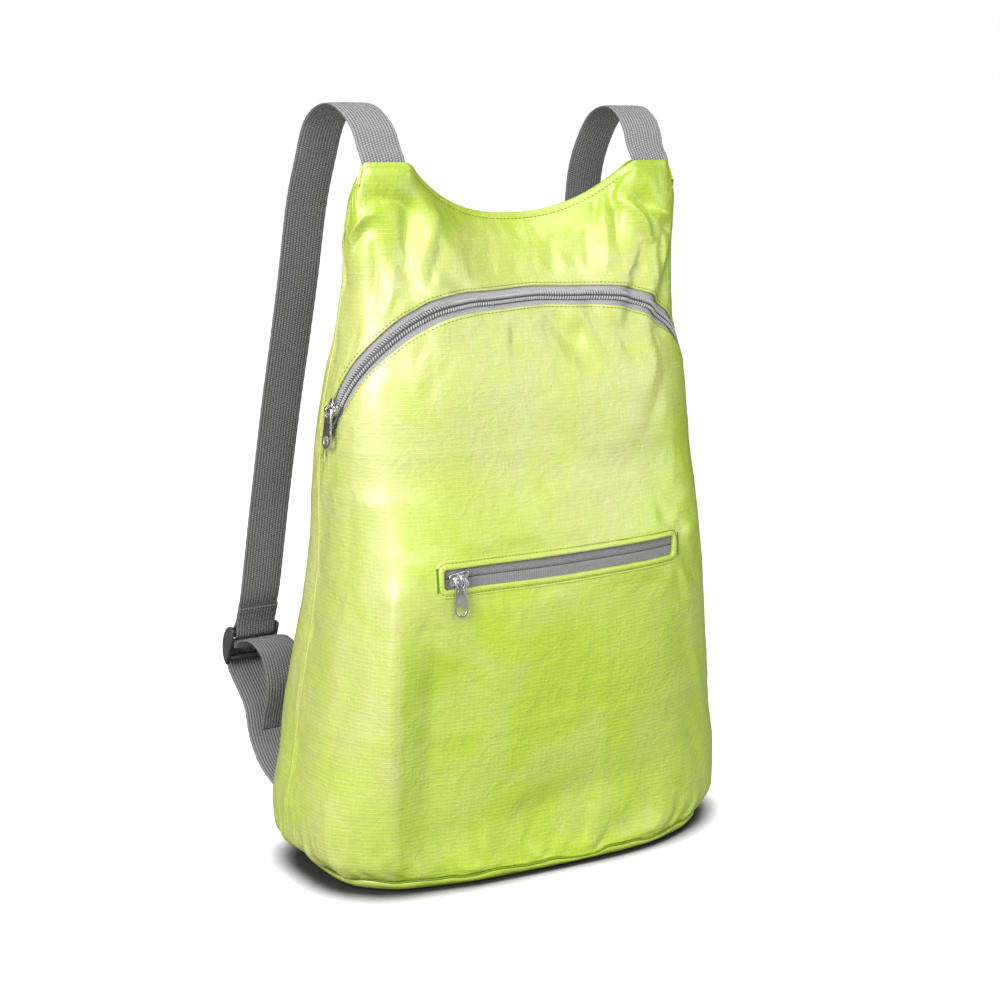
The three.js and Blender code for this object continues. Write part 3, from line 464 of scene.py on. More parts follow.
def panel(face, heights):
    """A grid of cloth points and normals; heights is columns x rows."""
    a = np.broadcast_to(across, heights.shape)
    flat = bag_points(face, a, heights)
    share = np.abs(flat[..., 0]) / (0.751 * BAG_HALF_WIDTH)
    beside_strap = 1 - smooth(0.62, 0.72, share) + smooth(0.93, 0.99, share)
    inwards = 1 if face == "front" else -1
    flat[..., 1] += inwards * NECK_PINCH * smooth(PINCH_FROM, 1, heights) * beside_strap
    normals = grid_normals(flat, inwards)
    points = flat + normals * relief(face, a, heights, flat)[..., None]
    return points, normals


def with_turned_edge(points, normals, first):
    """Adds three rows beyond one end of a grid that roll the edge in and down to the tape."""
    end, beside, n = (points[:, :1], points[:, 1:2], normals[:, :1]) if first else (
        points[:, -1:], points[:, -2:-1], normals[:, -1:])
    out = end - beside
    out /= np.linalg.norm(out, axis=-1, keepdims=True)
    fade = 0.1 + 0.9 * smooth(0, 0.05, 1 - np.abs(across))[..., None]
    rows = [end + (out * far - n * deep) * fade
            for far, deep in ((0.0004, 0.0003), (0.0006, 0.0008), (0.0002, 0.0015))]
    return np.concatenate(rows[::-1] + [points] if first else [points] + rows, axis=1)


lower_edge = beside_zip(across, -zip_half_window(across) - 0.0002)
front_foot = foot_heights("front")
front_heights = front_foot + (lower_edge - front_foot) * np.linspace(0, 1, FRONT_ROWS)[None, :] ** 1.05
front_points, front_normals = panel("front", front_heights)
front_points = with_turned_edge(front_points, front_normals, first=False)
cells = (front_points[1:, 1:] + front_points[:-1, :-1]) / 2
keep = (pocket_distance(cells) > 0.0018) | (cells[..., 1] > 0)
front_mesh = grid_mesh("front_cloth", front_points, cloth_uv(front_points), keep=keep)
front_cloth = new_object("front_cloth", front_mesh, RIPSTOP, stands_for=["front_panel"])
thicken(front_cloth, NYLON_THICKNESS)

upper_edge = beside_zip(across, zip_half_window(across) + 0.0002)
yoke_heights = upper_edge + (1 - upper_edge) * np.linspace(0, 1, YOKE_ROWS)[None, :]
yoke_points, yoke_normals = panel("front", yoke_heights)
yoke_points = with_turned_edge(yoke_points, yoke_normals, first=True)
yoke_points = with_turned_edge(yoke_points, yoke_normals, first=False)
yoke_mesh = grid_mesh("yoke_cloth", yoke_points, cloth_uv(yoke_points))
yoke_cloth = new_object("yoke_cloth", yoke_mesh, RIPSTOP, stands_for=["yoke_panel"])
thicken(yoke_cloth, NYLON_THICKNESS)

back_foot = foot_heights("back")
back_heights = back_foot + (1 - back_foot) * np.linspace(0, 1, FRONT_ROWS)[None, :]
back_points, back_normals = panel("back", back_heights)
back_points = with_turned_edge(back_points, back_normals, first=False)
back_mesh = grid_mesh("back_cloth", back_points, cloth_uv(back_points), flip=True)
back_cloth = new_object("back_cloth", back_mesh, RIPSTOP, stands_for=["back_panel"])
thicken(back_cloth, NYLON_THICKNESS)
print("cloth vertices:", [len(o.data.vertices) for o in (front_cloth, yoke_cloth, back_cloth)])

# %% [markdown]
# The base is one piece of the same cloth. Its edge turns up to the seam and shows as a narrow strip
# under the front, pulled in a little where the seam's thread is tight.

# %% Base
ring_across = np.linspace(-1, 1, 161)
BASE_RINGS = [
    (0.0008, SEAM_HEIGHT), (-0.0001, 0.0058), (0.0002, 0.0044), (0.0013, 0.0027), (0.0034, 0.0011),
    (0.0070, 0.0000), (0.0200, 0.0000), (0.0400, 0.0000), (0.0500, 0.0000),
]


def base_ring(inset, z):
    front = bag_points("front", ring_across[:-1], FOOT, max(inset, 0))
    back = bag_points("back", -ring_across[:-1], FOOT, max(inset, 0))
    ring = np.concatenate([front, back])
    ring[:, 2] = z + seam_rise(ring) * (z / SEAM_HEIGHT) ** 1.5
    middle = ring.mean(0)
    out = ring - middle
    out[:, 2] = 0
    out /= np.linalg.norm(out, axis=-1, keepdims=True)
    wave = noise(ring, 0.012, 5.5) * 0.0009 * (1 - abs(z - SEAM_HEIGHT / 2) / (SEAM_HEIGHT / 2))
    return ring + out * (wave + max(-inset, 0))[:, None]


base_points = np.stack([base_ring(inset, z) for inset, z in BASE_RINGS], 1)
base_uv = np.stack([np.broadcast_to(np.linspace(0, 0.82, len(base_points))[:, None], base_points.shape[:2]),
                    np.broadcast_to(np.cumsum([0, 0.0013, 0.0016, 0.0022, 0.0024, 0.0033, 0.014, 0.02, 0.01]),
                                    base_points.shape[:2])], -1)
base_mesh = grid_mesh("base_cloth", base_points, base_uv, flip=True, closed=True)
last_ring = np.arange(len(base_points)) * len(BASE_RINGS) + len(BASE_RINGS) - 1
shape = bmesh.new()
shape.from_mesh(base_mesh)
shape.verts.ensure_lookup_table()
shape.faces.new([shape.verts[k] for k in last_ring])
shape.to_mesh(base_mesh)
shape.free()
base_cloth = new_object("base_cloth", base_mesh, RIPSTOP, stands_for=["base_panel"])
thicken(base_cloth, NYLON_THICKNESS)

# %% [markdown]
# The zip's two tapes lie just under the turned edges. They are the same surface, set in by the
# cloth's thickness, so they follow the arch.

# %% Zip tapes
def tape(name, side, material, node):
    steps = np.linspace(0.0001 / TAPE_WIDTH, 0.5, 9) * TAPE_WIDTH
    a = np.clip(across, -0.985, 0.985)
    distances = (side * steps)[None, :]
    a = np.broadcast_to(a, (len(a), len(steps)))
    heights = np.stack([beside_zip(a[:, 0], d) for d in distances[0]], 1)
    points = bag_points("front", a, heights, TAPE_INSET)
    along = np.concatenate([[0], np.cumsum(np.linalg.norm(np.diff(points[:, 0], axis=0), axis=-1))])
    uv = np.stack(np.broadcast_arrays(along[:, None], distances), -1)
    mesh = grid_mesh(name, points, uv, flip=side < 0)
    return thicken(new_object(name, mesh, material, stands_for=[node]), TAPE_THICKNESS)


tape("main_tape_upper", 1, ZIP_TAPE, "main_zip_tape_upper")
tape("main_tape_lower", -1, ZIP_TAPE, "main_zip_tape_lower")


def pocket_tape(name, side, node):
    x = np.linspace(-POCKET_LENGTH / 2 - 0.004, POCKET_LENGTH / 2 + 0.004, 91)
    distances = side * np.linspace(0.00015, 0.0105, 7)
    places = np.array([across_at("front", v, POCKET_HEIGHT / BAG_HEIGHT) for v in x])
    a, d = np.broadcast_arrays(places[:, None], distances[None, :])
    points = bag_points("front", a, (POCKET_HEIGHT + d) / BAG_HEIGHT, TAPE_INSET)
    uv = np.stack([np.broadcast_to(x[:, None], d.shape), d], -1)
    mesh = grid_mesh(name, points, uv, flip=side < 0)
    return thicken(new_object(name, mesh, POCKET_TAPE, stands_for=[node]), TAPE_THICKNESS)


pocket_tape("pocket_tape_upper", 1, "pocket_zip_tape_upper")
pocket_tape("pocket_tape_lower", -1, "pocket_zip_tape_lower")

# %% [markdown]
# Stitches and zip teeth are the same small thing set again and again along a line on the cloth. One
# Geometry Nodes tree does both: it walks a path at even spacing, turns each copy to the path and to
# the cloth's normal, and makes the result real, because the exported model has no instances.

# %% A tree that repeats a small capsule along a path
def repeat_tree():
    tree = bpy.data.node_groups.new("repeat_along_path", "GeometryNodeTree")
    face = tree.interface
    face.new_socket("Geometry", in_out="INPUT", socket_type="NodeSocketGeometry")
    wanted = [("Spacing", "Float", 0.003), ("Length", "Float", 0.002), ("Width", "Float", 0.0006),
              ("Height", "Float", 0.0005), ("Slant", "Float", 0.0), ("Sideways", "Float", 0.0),
              ("Seed", "Int", 1), ("Material", "Material", None)]
    for name, kind, value in wanted:
        socket = face.new_socket(name, in_out="INPUT", socket_type="NodeSocket" + kind)
        if value is not None:
            socket.default_value = value
    face.new_socket("Geometry", in_out="OUTPUT", socket_type="NodeSocketGeometry")

    def add(kind, **settings):
        node = tree.nodes.new(kind)
        for key, value in settings.items():
            setattr(node, key, value)
        return node

    link = tree.links.new
    given = add("NodeGroupInput")
    path = add("GeometryNodeMeshToCurve")
    link(given.outputs["Geometry"], path.inputs["Mesh"])
    even = add("GeometryNodeResampleCurve", mode="LENGTH")
    link(path.outputs["Curve"], even.inputs["Curve"])
    link(given.outputs["Spacing"], even.inputs["Length"])
    out = add("GeometryNodeInputNamedAttribute", data_type="FLOAT_VECTOR")
    out.inputs["Name"].default_value = "out"
    tangent = add("GeometryNodeInputTangent")
    turn = add("FunctionNodeAxesToRotation", primary_axis="Z", secondary_axis="X")
    link(out.outputs["Attribute"], turn.inputs["Primary Axis"])
    link(tangent.outputs["Tangent"], turn.inputs["Secondary Axis"])
    slanted = add("FunctionNodeRotateRotation", rotation_space="LOCAL")
    link(turn.outputs["Rotation"], slanted.inputs["Rotation"])
    jitter = add("FunctionNodeRandomValue", data_type="FLOAT")
    jitter.inputs["Min"].default_value, jitter.inputs["Max"].default_value = -0.05, 0.05
    link(given.outputs["Seed"], jitter.inputs["Seed"])
    lean = add("ShaderNodeMath", operation="ADD")
    link(given.outputs["Slant"], lean.inputs[0])
    link(jitter.outputs["Value"], lean.inputs[1])
    euler = add("ShaderNodeCombineXYZ")
    link(lean.outputs["Value"], euler.inputs["Z"])
    link(euler.outputs["Vector"], slanted.inputs["Rotate By"])
    ball = add("GeometryNodeMeshUVSphere")
    ball.inputs["Segments"].default_value, ball.inputs["Rings"].default_value = 8, 6
    ball.inputs["Radius"].default_value = 0.5
    size = add("ShaderNodeCombineXYZ")
    for axis, name in zip("XYZ", ("Length", "Width", "Height")):
        link(given.outputs[name], size.inputs[axis])
    shift = add("ShaderNodeCombineXYZ")
    link(given.outputs["Sideways"], shift.inputs["Y"])
    capsule = add("GeometryNodeTransform")
    link(ball.outputs["Mesh"], capsule.inputs["Geometry"])
    link(size.outputs["Vector"], capsule.inputs["Scale"])
    link(shift.outputs["Vector"], capsule.inputs["Translation"])
    copies = add("GeometryNodeInstanceOnPoints")
    link(even.outputs["Curve"], copies.inputs["Points"])
    link(capsule.outputs["Geometry"], copies.inputs["Instance"])
    link(slanted.outputs["Rotation"], copies.inputs["Rotation"])
    real = add("GeometryNodeRealizeInstances")
    link(copies.outputs["Instances"], real.inputs["Geometry"])
    painted = add("GeometryNodeSetMaterial")
    link(real.outputs["Geometry"], painted.inputs["Geometry"])
    link(given.outputs["Material"], painted.inputs["Material"])
    end = add("NodeGroupOutput")
    link(painted.outputs["Geometry"], end.inputs["Geometry"])
    return tree


REPEAT = repeat_tree()
SOCKETS = {i.name: i.identifier for i in REPEAT.interface.items_tree if i.in_out == "INPUT"}


def repeat_along(name, lines, slot, body=BAG, stands_for=(), **sizes):
    """lines is a list of (points, normals). The copies become one plain mesh."""
    mesh = bpy.data.meshes.new(name + "_path")
    points = np.concatenate([p for p, _ in lines])
    normals = np.concatenate([n for _, n in lines])
    edges, first = [], 0
    for p, _ in lines:
        edges += [(first + k, first + k + 1) for k in range(len(p) - 1)]
        first += len(p)
    mesh.from_pydata(points.tolist(), edges, [])
    outwards = mesh.attributes.new("out", "FLOAT_VECTOR", "POINT").data
    outwards.foreach_set("vector", normals.astype(np.float32).ravel())
    guide = bpy.data.objects.new(name + "_path", mesh)
    bpy.context.scene.collection.objects.link(guide)
    modifier = guide.modifiers.new("repeat", "NODES")
    modifier.node_group = REPEAT
    for key, value in sizes.items():
        modifier[SOCKETS[key]] = value
    bpy.context.view_layer.update()
    made = bpy.data.meshes.new_from_object(guide.evaluated_get(bpy.context.evaluated_depsgraph_get()))
    made.name = name
    bpy.data.objects.remove(guide)
    made.shade_smooth()
    print(name, "faces:", len(made.polygons))
    return new_object(name, made, None, body, stands_for)


# %% [markdown]
# A coil zip is two wound nylon threads whose turns interlock. What shows is a chain: two rows of
# short slanted turns that meet in the middle, with a woven cord under them. The chain runs the whole
# arch, so two repeated rows and a core make it.

# %% Main zip coil
zip_across = np.linspace(-0.932, 0.932, 241)
zip_line, _, zip_out = bag_frame(zip_across, zip_height(zip_across))
zip_along = np.gradient(zip_line, axis=0)
zip_along /= np.linalg.norm(zip_along, axis=1, keepdims=True)
zip_beside = np.cross(zip_out, zip_along)
coil_line = zip_line - zip_out * (TAPE_INSET - 0.0008)
COIL_TURN = dict(Spacing=0.00150, Length=0.00105, Width=0.0026, Height=0.0020, Material=COIL, Seed=3)
for name, side in (("coil_row_upper", 1), ("coil_row_lower", -1)):
    row = coil_line + zip_beside * side * 0.00145
    repeat_along(name, [(row, zip_out)], "zip_coil", stands_for=["main_zip_coil"] if side > 0 else [],
                 Slant=side * 0.35, **COIL_TURN)


def close_ends(mesh):
    """Fills a tube's open ends and turns its faces outwards."""
    shape = bmesh.new()
    shape.from_mesh(mesh)
    bmesh.ops.holes_fill(shape, edges=[e for e in shape.edges if e.is_boundary])
    bmesh.ops.recalc_face_normals(shape, faces=shape.faces)
    shape.to_mesh(mesh)
    shape.free()
    return mesh


def round_cord(name, line, across_way, out_way, size, material, taper=0.0):
    """A closed oval cord along a line. The last share of it given by taper runs out to nothing."""
    width, height = size
    turn = np.linspace(0, 2 * np.pi, 10, endpoint=False)
    thin = np.clip((1 - np.linspace(0, 1, len(line))) / max(taper, 1e-6), 0.05, 1)[:, None, None]
    points = (line[:, None] + across_way[:, None] * (np.cos(turn) * width / 2)[None, :, None] * thin
              + out_way[:, None] * (np.sin(turn) * height / 2)[None, :, None] * thin)
    run = np.concatenate([[0], np.cumsum(np.linalg.norm(np.diff(line, axis=0), axis=1))])
    uv = np.stack(np.meshgrid(run, turn / (2 * np.pi) * width * 2, indexing="ij"), -1)
    mesh = grid_mesh(name, points.transpose(1, 0, 2), uv.transpose(1, 0, 2), closed=True)
    return new_object(name, close_ends(mesh), material)


round_cord("coil_core", zip_line - zip_out * (TAPE_INSET - 0.0003), zip_beside, zip_out, (COIL_WIDTH, 0.0010),
           GREY_THREAD)

# %% [markdown]
# The pocket's slot is finished like the zip: the cloth is folded under all round it and topstitched.
# A welt does that. It is a small folded section that runs round a rounded rectangle on the surface.

# %% Pocket welt
def slot_loop():
    """Points (x, z) round the slot's edge, and their outward directions."""
    radius, half_long, half_high = 0.0020, POCKET_LENGTH / 2, POCKET_OPENING / 2
    centres, ways = [], []
    for x, z, start in ((1, -1, -90), (1, 1, 0), (-1, 1, 90), (-1, -1, 180)):
        turn = np.radians(np.linspace(start, start + 90, 7))
        ways.append(np.stack([np.cos(turn), np.sin(turn)], 1))
        centres.append(np.tile([x * (half_long - radius), z * (half_high - radius)], (7, 1)))
    centre, way = np.vstack(centres), np.vstack(ways)
    edge = centre + way * radius
    points, outs = [], []
    for k in range(len(edge)):
        after = (k + 1) % len(edge)
        steps = max(1, int(np.linalg.norm(edge[after] - edge[k]) / 0.0016))
        for share in np.arange(steps) / steps:
            points.append(edge[k] * (1 - share) + edge[after] * share)
            outs.append(way[k] * (1 - share) + way[after] * share)
    outs = np.array(outs)
    return np.array(points), outs / np.linalg.norm(outs, axis=1, keepdims=True)


def on_pocket(outwards, lift):
    """The slot's edge moved outwards, lifted off the cloth, with the cloth's normals there."""
    edge, way = slot_loop()
    x, z = (edge + way * outwards).T
    share = (z + POCKET_HEIGHT) / BAG_HEIGHT
    place, _, normal = bag_frame(across_at("front", x, share), share)
    return place + normal * lift, normal


#   outwards from the slot's edge and lift off the cloth, in millimetres
WELT = [(5.2, -0.25), (4.6, 0.10), (3.9, 0.30), (3.45, 0.16), (3.2, -0.05), (2.95, 0.20), (2.4, 0.52),
        (1.5, 0.62), (0.7, 0.60), (0.2, 0.42), (0.0, 0.05), (-0.05, -0.60), (0.1, -1.50)]
welt = np.stack([on_pocket(out * 0.001, lift * 0.001)[0] for out, lift in WELT], 1)
welt += (noise(welt, 0.007, 6.6) * 0.00022)[..., None] * on_pocket(0, 0)[1][:, None]
welt_uv = np.stack([welt[..., 0], welt[..., 2]], -1)
welt_mesh = grid_mesh("pocket_welt", welt, welt_uv, closed=True)
new_object("pocket_welt", welt_mesh, RIPSTOP)

# %% [markdown]
# Every seam is topstitched. A row of stitches is one path on the cloth and one call of the tree that
# repeats a capsule; each stitch lies a little sunk, as a tight thread does.

# %% Topstitching
STITCH = dict(Spacing=0.0024, Length=0.0019, Width=0.00045, Height=0.00045, Material=THREAD)
line, out = on_pocket(0.0032, 0.00016)
repeat_along("pocket_stitches", [(np.vstack([line, line[:1]]), np.vstack([out, out[:1]]))], None, Seed=5,
             **{**STITCH, "Spacing": 0.0021, "Length": 0.0017})
tacks = []
for x in (-POCKET_LENGTH / 2 - 0.0036, POCKET_LENGTH / 2 + 0.0036):
    z = np.linspace(-POCKET_OPENING / 2 - 0.001, POCKET_OPENING / 2 + 0.001, 12)
    share = (z + POCKET_HEIGHT) / BAG_HEIGHT
    place, _, normal = bag_frame(across_at("front", x + z * 0, share), share)
    tacks.append((place + normal * 0.0004, normal))
for end in (-0.950, 0.950):
    at = np.full(10, end)
    place, _, normal = bag_frame(at, beside_zip(at, np.linspace(-0.0035, 0.0035, 10)))
    tacks.append((place + normal * 0.0003, normal))
repeat_along("bar_tacks", tacks, None, Spacing=0.00048, Length=0.00042, Width=0.0013, Height=0.0007,
             Slant=0.12, Material=THREAD, Seed=8)


def stitch_row(face, at, heights, lift):
    place, _, normal = bag_frame(at, heights, 0.0, face)
    return place + normal * lift, normal


inner = np.linspace(-0.965, 0.965, 261)
from_zip = zip_half_window(inner) + 0.0014
zip_rows = [stitch_row("front", inner, beside_zip(inner, side * from_zip), 0.0001) for side in (1, -1)]
repeat_along("zip_edge_stitches", zip_rows, None, Seed=11, **STITCH)
dip = np.linspace(-0.395, 0.395, 161)
hem_rows = []
for face in ("front", "back"):
    row, normal = stitch_row(face, dip, np.full(dip.shape, 1 - NECK_HEM / BAG_HEIGHT), 0.0)
    inwards = 1 if face == "front" else -1
    row[:, 1] += inwards * NECK_PINCH * smooth(PINCH_FROM, 1, 1 - NECK_HEM / BAG_HEIGHT)
    hem_rows.append((row - normal * 0.0003, normal))
repeat_along("neckline_stitches", hem_rows, None, Seed=13, **STITCH)

# %% [markdown]
# Where front and back meet, the seam allowance inside makes a thin raised line down both sides. The
# base is sewn on with a thread that shows as a thin line round it. Both close the joint between panels.

# %% Raised seams
SIDE_SEAM, BASE_SEAM = (0.0019, 0.0009), (0.0011, 0.0009)
up_side = np.linspace(FOOT, 0.962, 150)
for label, side in (("left", -1), ("right", 1)):
    line = bag_points("front", np.full(up_side.shape, float(side)), up_side)
    line[:, 1] += CLEARANCE / 2
    along = np.gradient(line, axis=0)
    along /= np.linalg.norm(along, axis=1, keepdims=True)
    depth_way = np.cross(along, np.tile([1.0, 0, 0], (len(line), 1)))
    depth_way /= np.linalg.norm(depth_way, axis=1, keepdims=True)
    out_way = np.cross(depth_way, along)
    off = noise(line, 0.011, 2.7) * 0.0003 - 0.0012 * smooth(0.90, 0.962, up_side)
    line += off[:, None] * out_way
    round_cord(f"side_seam_{label}", line, depth_way, out_way, SIDE_SEAM, RIPSTOP,
               taper=0.12)
around = np.concatenate([bag_points("front", ring_across[:-1], FOOT), bag_points("back", -ring_across, FOOT)])
around[:, 2] = SEAM_HEIGHT + seam_rise(around)
along = np.gradient(around, axis=0)
along /= np.linalg.norm(along, axis=1, keepdims=True)
upright = np.tile([0, 0, 1.0], (len(around), 1))
outward = np.cross(along, upright)
around -= outward * 0.0001
round_cord("base_seam", around, upright, outward, BASE_SEAM, THREAD)

# %% [markdown]
# Shoulder webbing is a flat woven band. It leaves the horn, goes over the shoulder and comes down
# behind to the buckle, where its end is folded round the first bar and sewn to itself.

# %% Webbing routes
STRAP_MIDDLE = BAG_HALF_WIDTH * 0.634
STRAP_SPREAD = BAG_HALF_WIDTH * 0.172
BUCKLE_HEIGHT, BUCKLE_BACK, BUCKLE_LENGTH = 0.102, BAG_DEPTH * 1.043, 0.028
BUCKLE_BAR, BUCKLE_TILT, STRAP_FOLD = 0.0028, math.radians(26), 0.020
FIRST_BAR = -BUCKLE_LENGTH / 2 + 0.004
BAR_WRAP = BUCKLE_BAR * 0.75 + CLEARANCE + STRAP_THICKNESS / 2
PAIR = (STRAP_THICKNESS + CLEARANCE) / 2
RIGHT_LEAN = BAG_HALF_WIDTH * 0.105
WEBBING_STEP = 0.0016
#   back, height, lean: shares of the bag's depth, of its height, and of the right strap's lean
STRAP_ROUTE = [(-0.164, 1.020, 0.00), (-0.121, 1.040, 0.10), (-0.026, 1.061, 0.35), (0.121, 1.076, 0.62),
               (0.284, 1.071, 0.85), (0.405, 1.051, 1.00), (0.517, 1.000, 1.00), (0.586, 0.944, 1.00),
               (0.655, 0.828, 0.95), (0.716, 0.740, 0.85), (0.784, 0.649, 0.72), (0.879, 0.492, 0.42)]
TAIL_ROUTE = [(-0.15, 0.06), (-0.32, 0.13), (-0.58, 0.17), (-0.85, 0.09), (-1.00, -0.17), (-0.96, -0.42),
              (-0.87, -0.60), (-0.81, -0.79)]
TAIL_REACH = 0.053
ANCHOR_ROUTE = [(0.24, 0.04), (0.50, 0.12), (0.68, 0.28), (0.78, 0.52)]


def at_buckle(side, along, off):
    return np.array([side * (STRAP_MIDDLE + STRAP_SPREAD),
                     BUCKLE_BACK + along * math.sin(BUCKLE_TILT) + off * math.cos(BUCKLE_TILT),
                     BUCKLE_HEIGHT - along * math.cos(BUCKLE_TILT) + off * math.sin(BUCKLE_TILT)])


def round_bar(side, along, radius, start, end, steps=12):
    angles = np.pi * np.linspace(start, end, steps + 1)
    return [at_buckle(side, along + radius * math.sin(t), radius * math.cos(t)) for t in angles]


def spline(points, spacing):
    """A centripetal Catmull-Rom curve through points, as evenly spaced points."""
    p = np.asarray(points, float)
    p = np.vstack([2 * p[0] - p[1], p, 2 * p[-1] - p[-2]])
    fine = []
    for k in range(1, len(p) - 2):
        steps = np.linalg.norm(np.diff(p[k - 1:k + 3], axis=0), axis=1) ** 0.5
        knots = np.concatenate([[0], np.cumsum(steps)])
        t = np.linspace(knots[1], knots[2], 24, endpoint=False)[:, None]

        def mix(a, b, low, high):
            return (high - t) / (high - low) * a + (t - low) / (high - low) * b

        a = [mix(p[k - 1 + n], p[k + n], knots[n], knots[n + 1]) for n in range(3)]
        b = [mix(a[0], a[1], knots[0], knots[2]), mix(a[1], a[2], knots[1], knots[3])]
        fine.append(mix(b[0], b[1], knots[1], knots[2]))
    fine = np.vstack(fine + [p[-2:-1]])
    run = np.concatenate([[0], np.cumsum(np.linalg.norm(np.diff(fine, axis=0), axis=1))])
    even = np.linspace(0, run[-1], max(2, int(run[-1] / spacing)) + 1)
    return np.stack([np.interp(even, run, fine[:, k]) for k in range(3)], 1)


def shoulder_route(side):
    seam_y = SECTIONS[-1, 2] * BAG_DEPTH
    points = [(side * STRAP_MIDDLE, seam_y, BAG_HEIGHT - tuck) for tuck in (0.005, 0.0)]
    for back, height, lean in STRAP_ROUTE:
        drop = np.clip((1 - height) * BAG_HEIGHT / (BAG_HEIGHT - BUCKLE_HEIGHT), 0, 1)
        out = STRAP_MIDDLE + STRAP_SPREAD * drop + (RIGHT_LEAN * lean if side > 0 else 0)
        points.append((side * out, back * BAG_DEPTH, height * BAG_HEIGHT))
    points += [at_buckle(side, FIRST_BAR - STRAP_FOLD * k, PAIR) for k in (1.4, 1.0, 0.6)]
    points.append(at_buckle(side, FIRST_BAR - BAR_WRAP * 2.2, PAIR * 1.3))
    points += round_bar(side, FIRST_BAR, BAR_WRAP, -0.12, 1.12)
    points.append(at_buckle(side, FIRST_BAR - BAR_WRAP * 2.2, -PAIR * 1.3))
    points += [at_buckle(side, FIRST_BAR - STRAP_FOLD * k, -PAIR) for k in (0.6, 1.0)]
    return spline(points, WEBBING_STEP)


def adjuster_route(side):
    share = 0.028 / BAG_HEIGHT
    anchor = bag_points("back", across_at("back", side * (STRAP_MIDDLE + STRAP_SPREAD), share), share)
    x = side * (STRAP_MIDDLE + STRAP_SPREAD)
    up = [(x, anchor[1] - 0.004, anchor[2])]
    up += [(x, anchor[1] + (BUCKLE_BACK - anchor[1]) * back, anchor[2] + (BUCKLE_HEIGHT - anchor[2]) * height)
           for back, height in ANCHOR_ROUTE]
    up += [at_buckle(side, BUCKLE_LENGTH / 2 + 0.004, BAR_WRAP), at_buckle(side, BAR_WRAP, BAR_WRAP)]
    tail = [at_buckle(side, 0, -BAR_WRAP)]
    tail += [(x, BUCKLE_BACK + back * TAIL_REACH, BUCKLE_HEIGHT + height * TAIL_REACH)
             for back, height in TAIL_ROUTE]
    round_middle = round_bar(side, 0, BAR_WRAP, 0, -1)[1:-1]
    return np.vstack([spline(up, WEBBING_STEP), round_middle, spline(tail, WEBBING_STEP)])


# %% Webbing meshes
def webbing(name, route, stands_for):
    along = np.gradient(route, axis=0)
    along /= np.linalg.norm(along, axis=1, keepdims=True)
    wide = np.array([1.0, 0, 0]) - along * along[:, :1]
    wide /= np.linalg.norm(wide, axis=1, keepdims=True)
    out = np.cross(along, wide)
    run = np.concatenate([[0], np.cumsum(np.linalg.norm(np.diff(route, axis=0), axis=1))])
    share = np.sin(np.linspace(-np.pi / 2, np.pi / 2, 17))
    half = STRAP_THICKNESS / 2 * (1 - np.abs(share) ** 7 * 0.55)
    u = np.concatenate([share, share[::-1]]) * STRAP_WIDTH / 2
    w = np.concatenate([half, -half[::-1]])
    selvedge = 1 + 0.006 * np.sin(run / 0.0011)[:, None] * (np.abs(u) > STRAP_WIDTH * 0.47)[None, :]
    points = route[:, None] + wide[:, None] * (u * selvedge)[..., None] + out[:, None] * w[None, :, None]
    uv = np.stack(np.broadcast_arrays(u[None, :], run[:, None]), -1)
    mesh = grid_mesh(name, points.transpose(1, 0, 2), uv.transpose(1, 0, 2), closed=True)
    new_object(name, close_ends(mesh), WEBBING, stands_for=stands_for)


for label, side in (("left", -1), ("right", 1)):
    route = shoulder_route(side)
    webbing(f"shoulder_strap_{label}", route, [f"strap_{label}"])
    webbing(f"adjuster_strap_{label}", adjuster_route(side), [f"adjuster_{label}"])
    print(label, "shoulder strap length:", round(len(route) * WEBBING_STEP, 3), "m")

# %% [markdown]
# The folded strap end is sewn down with two dark rows across it, and its cut edge frays a little.

# %% Strap stitching
for label, side in (("left", -1), ("right", 1)):
    rows = []
    toward_front = np.array([0, -math.cos(BUCKLE_TILT), -math.sin(BUCKLE_TILT)])
    for share in (0.93, 0.80):
        middle = at_buckle(side, FIRST_BAR - STRAP_FOLD * share, -PAIR) + toward_front * (STRAP_THICKNESS / 2)
        row = middle + np.linspace(-0.0115, 0.0115, 16)[:, None] * np.array([1.0, 0, 0])
        rows.append((row, np.tile(toward_front, (16, 1))))
    repeat_along(f"strap_stitches_{label}", rows, None, Spacing=0.0021, Length=0.0018, Width=0.0005,
                 Height=0.0005, Material=GREY_THREAD, Seed=21)
    middle = at_buckle(side, FIRST_BAR - STRAP_FOLD * 1.03, -PAIR)
    row = middle + np.linspace(-0.0122, 0.0122, 20)[:, None] * np.array([1.0, 0, 0])
    repeat_along(f"frayed_end_{label}", [(row, np.tile(toward_front, (20, 1)))], None, Spacing=0.00062,
                 Length=0.0004, Width=0.0020, Height=0.0009, Material=WEBBING, Seed=23)

# %% [markdown]
# Small hard parts such as zip sliders, pull tabs and buckle rails are stamped or moulded plates with
# soft edges. A flat curve with a little extrusion and a round bevel gives exactly that, holes too.

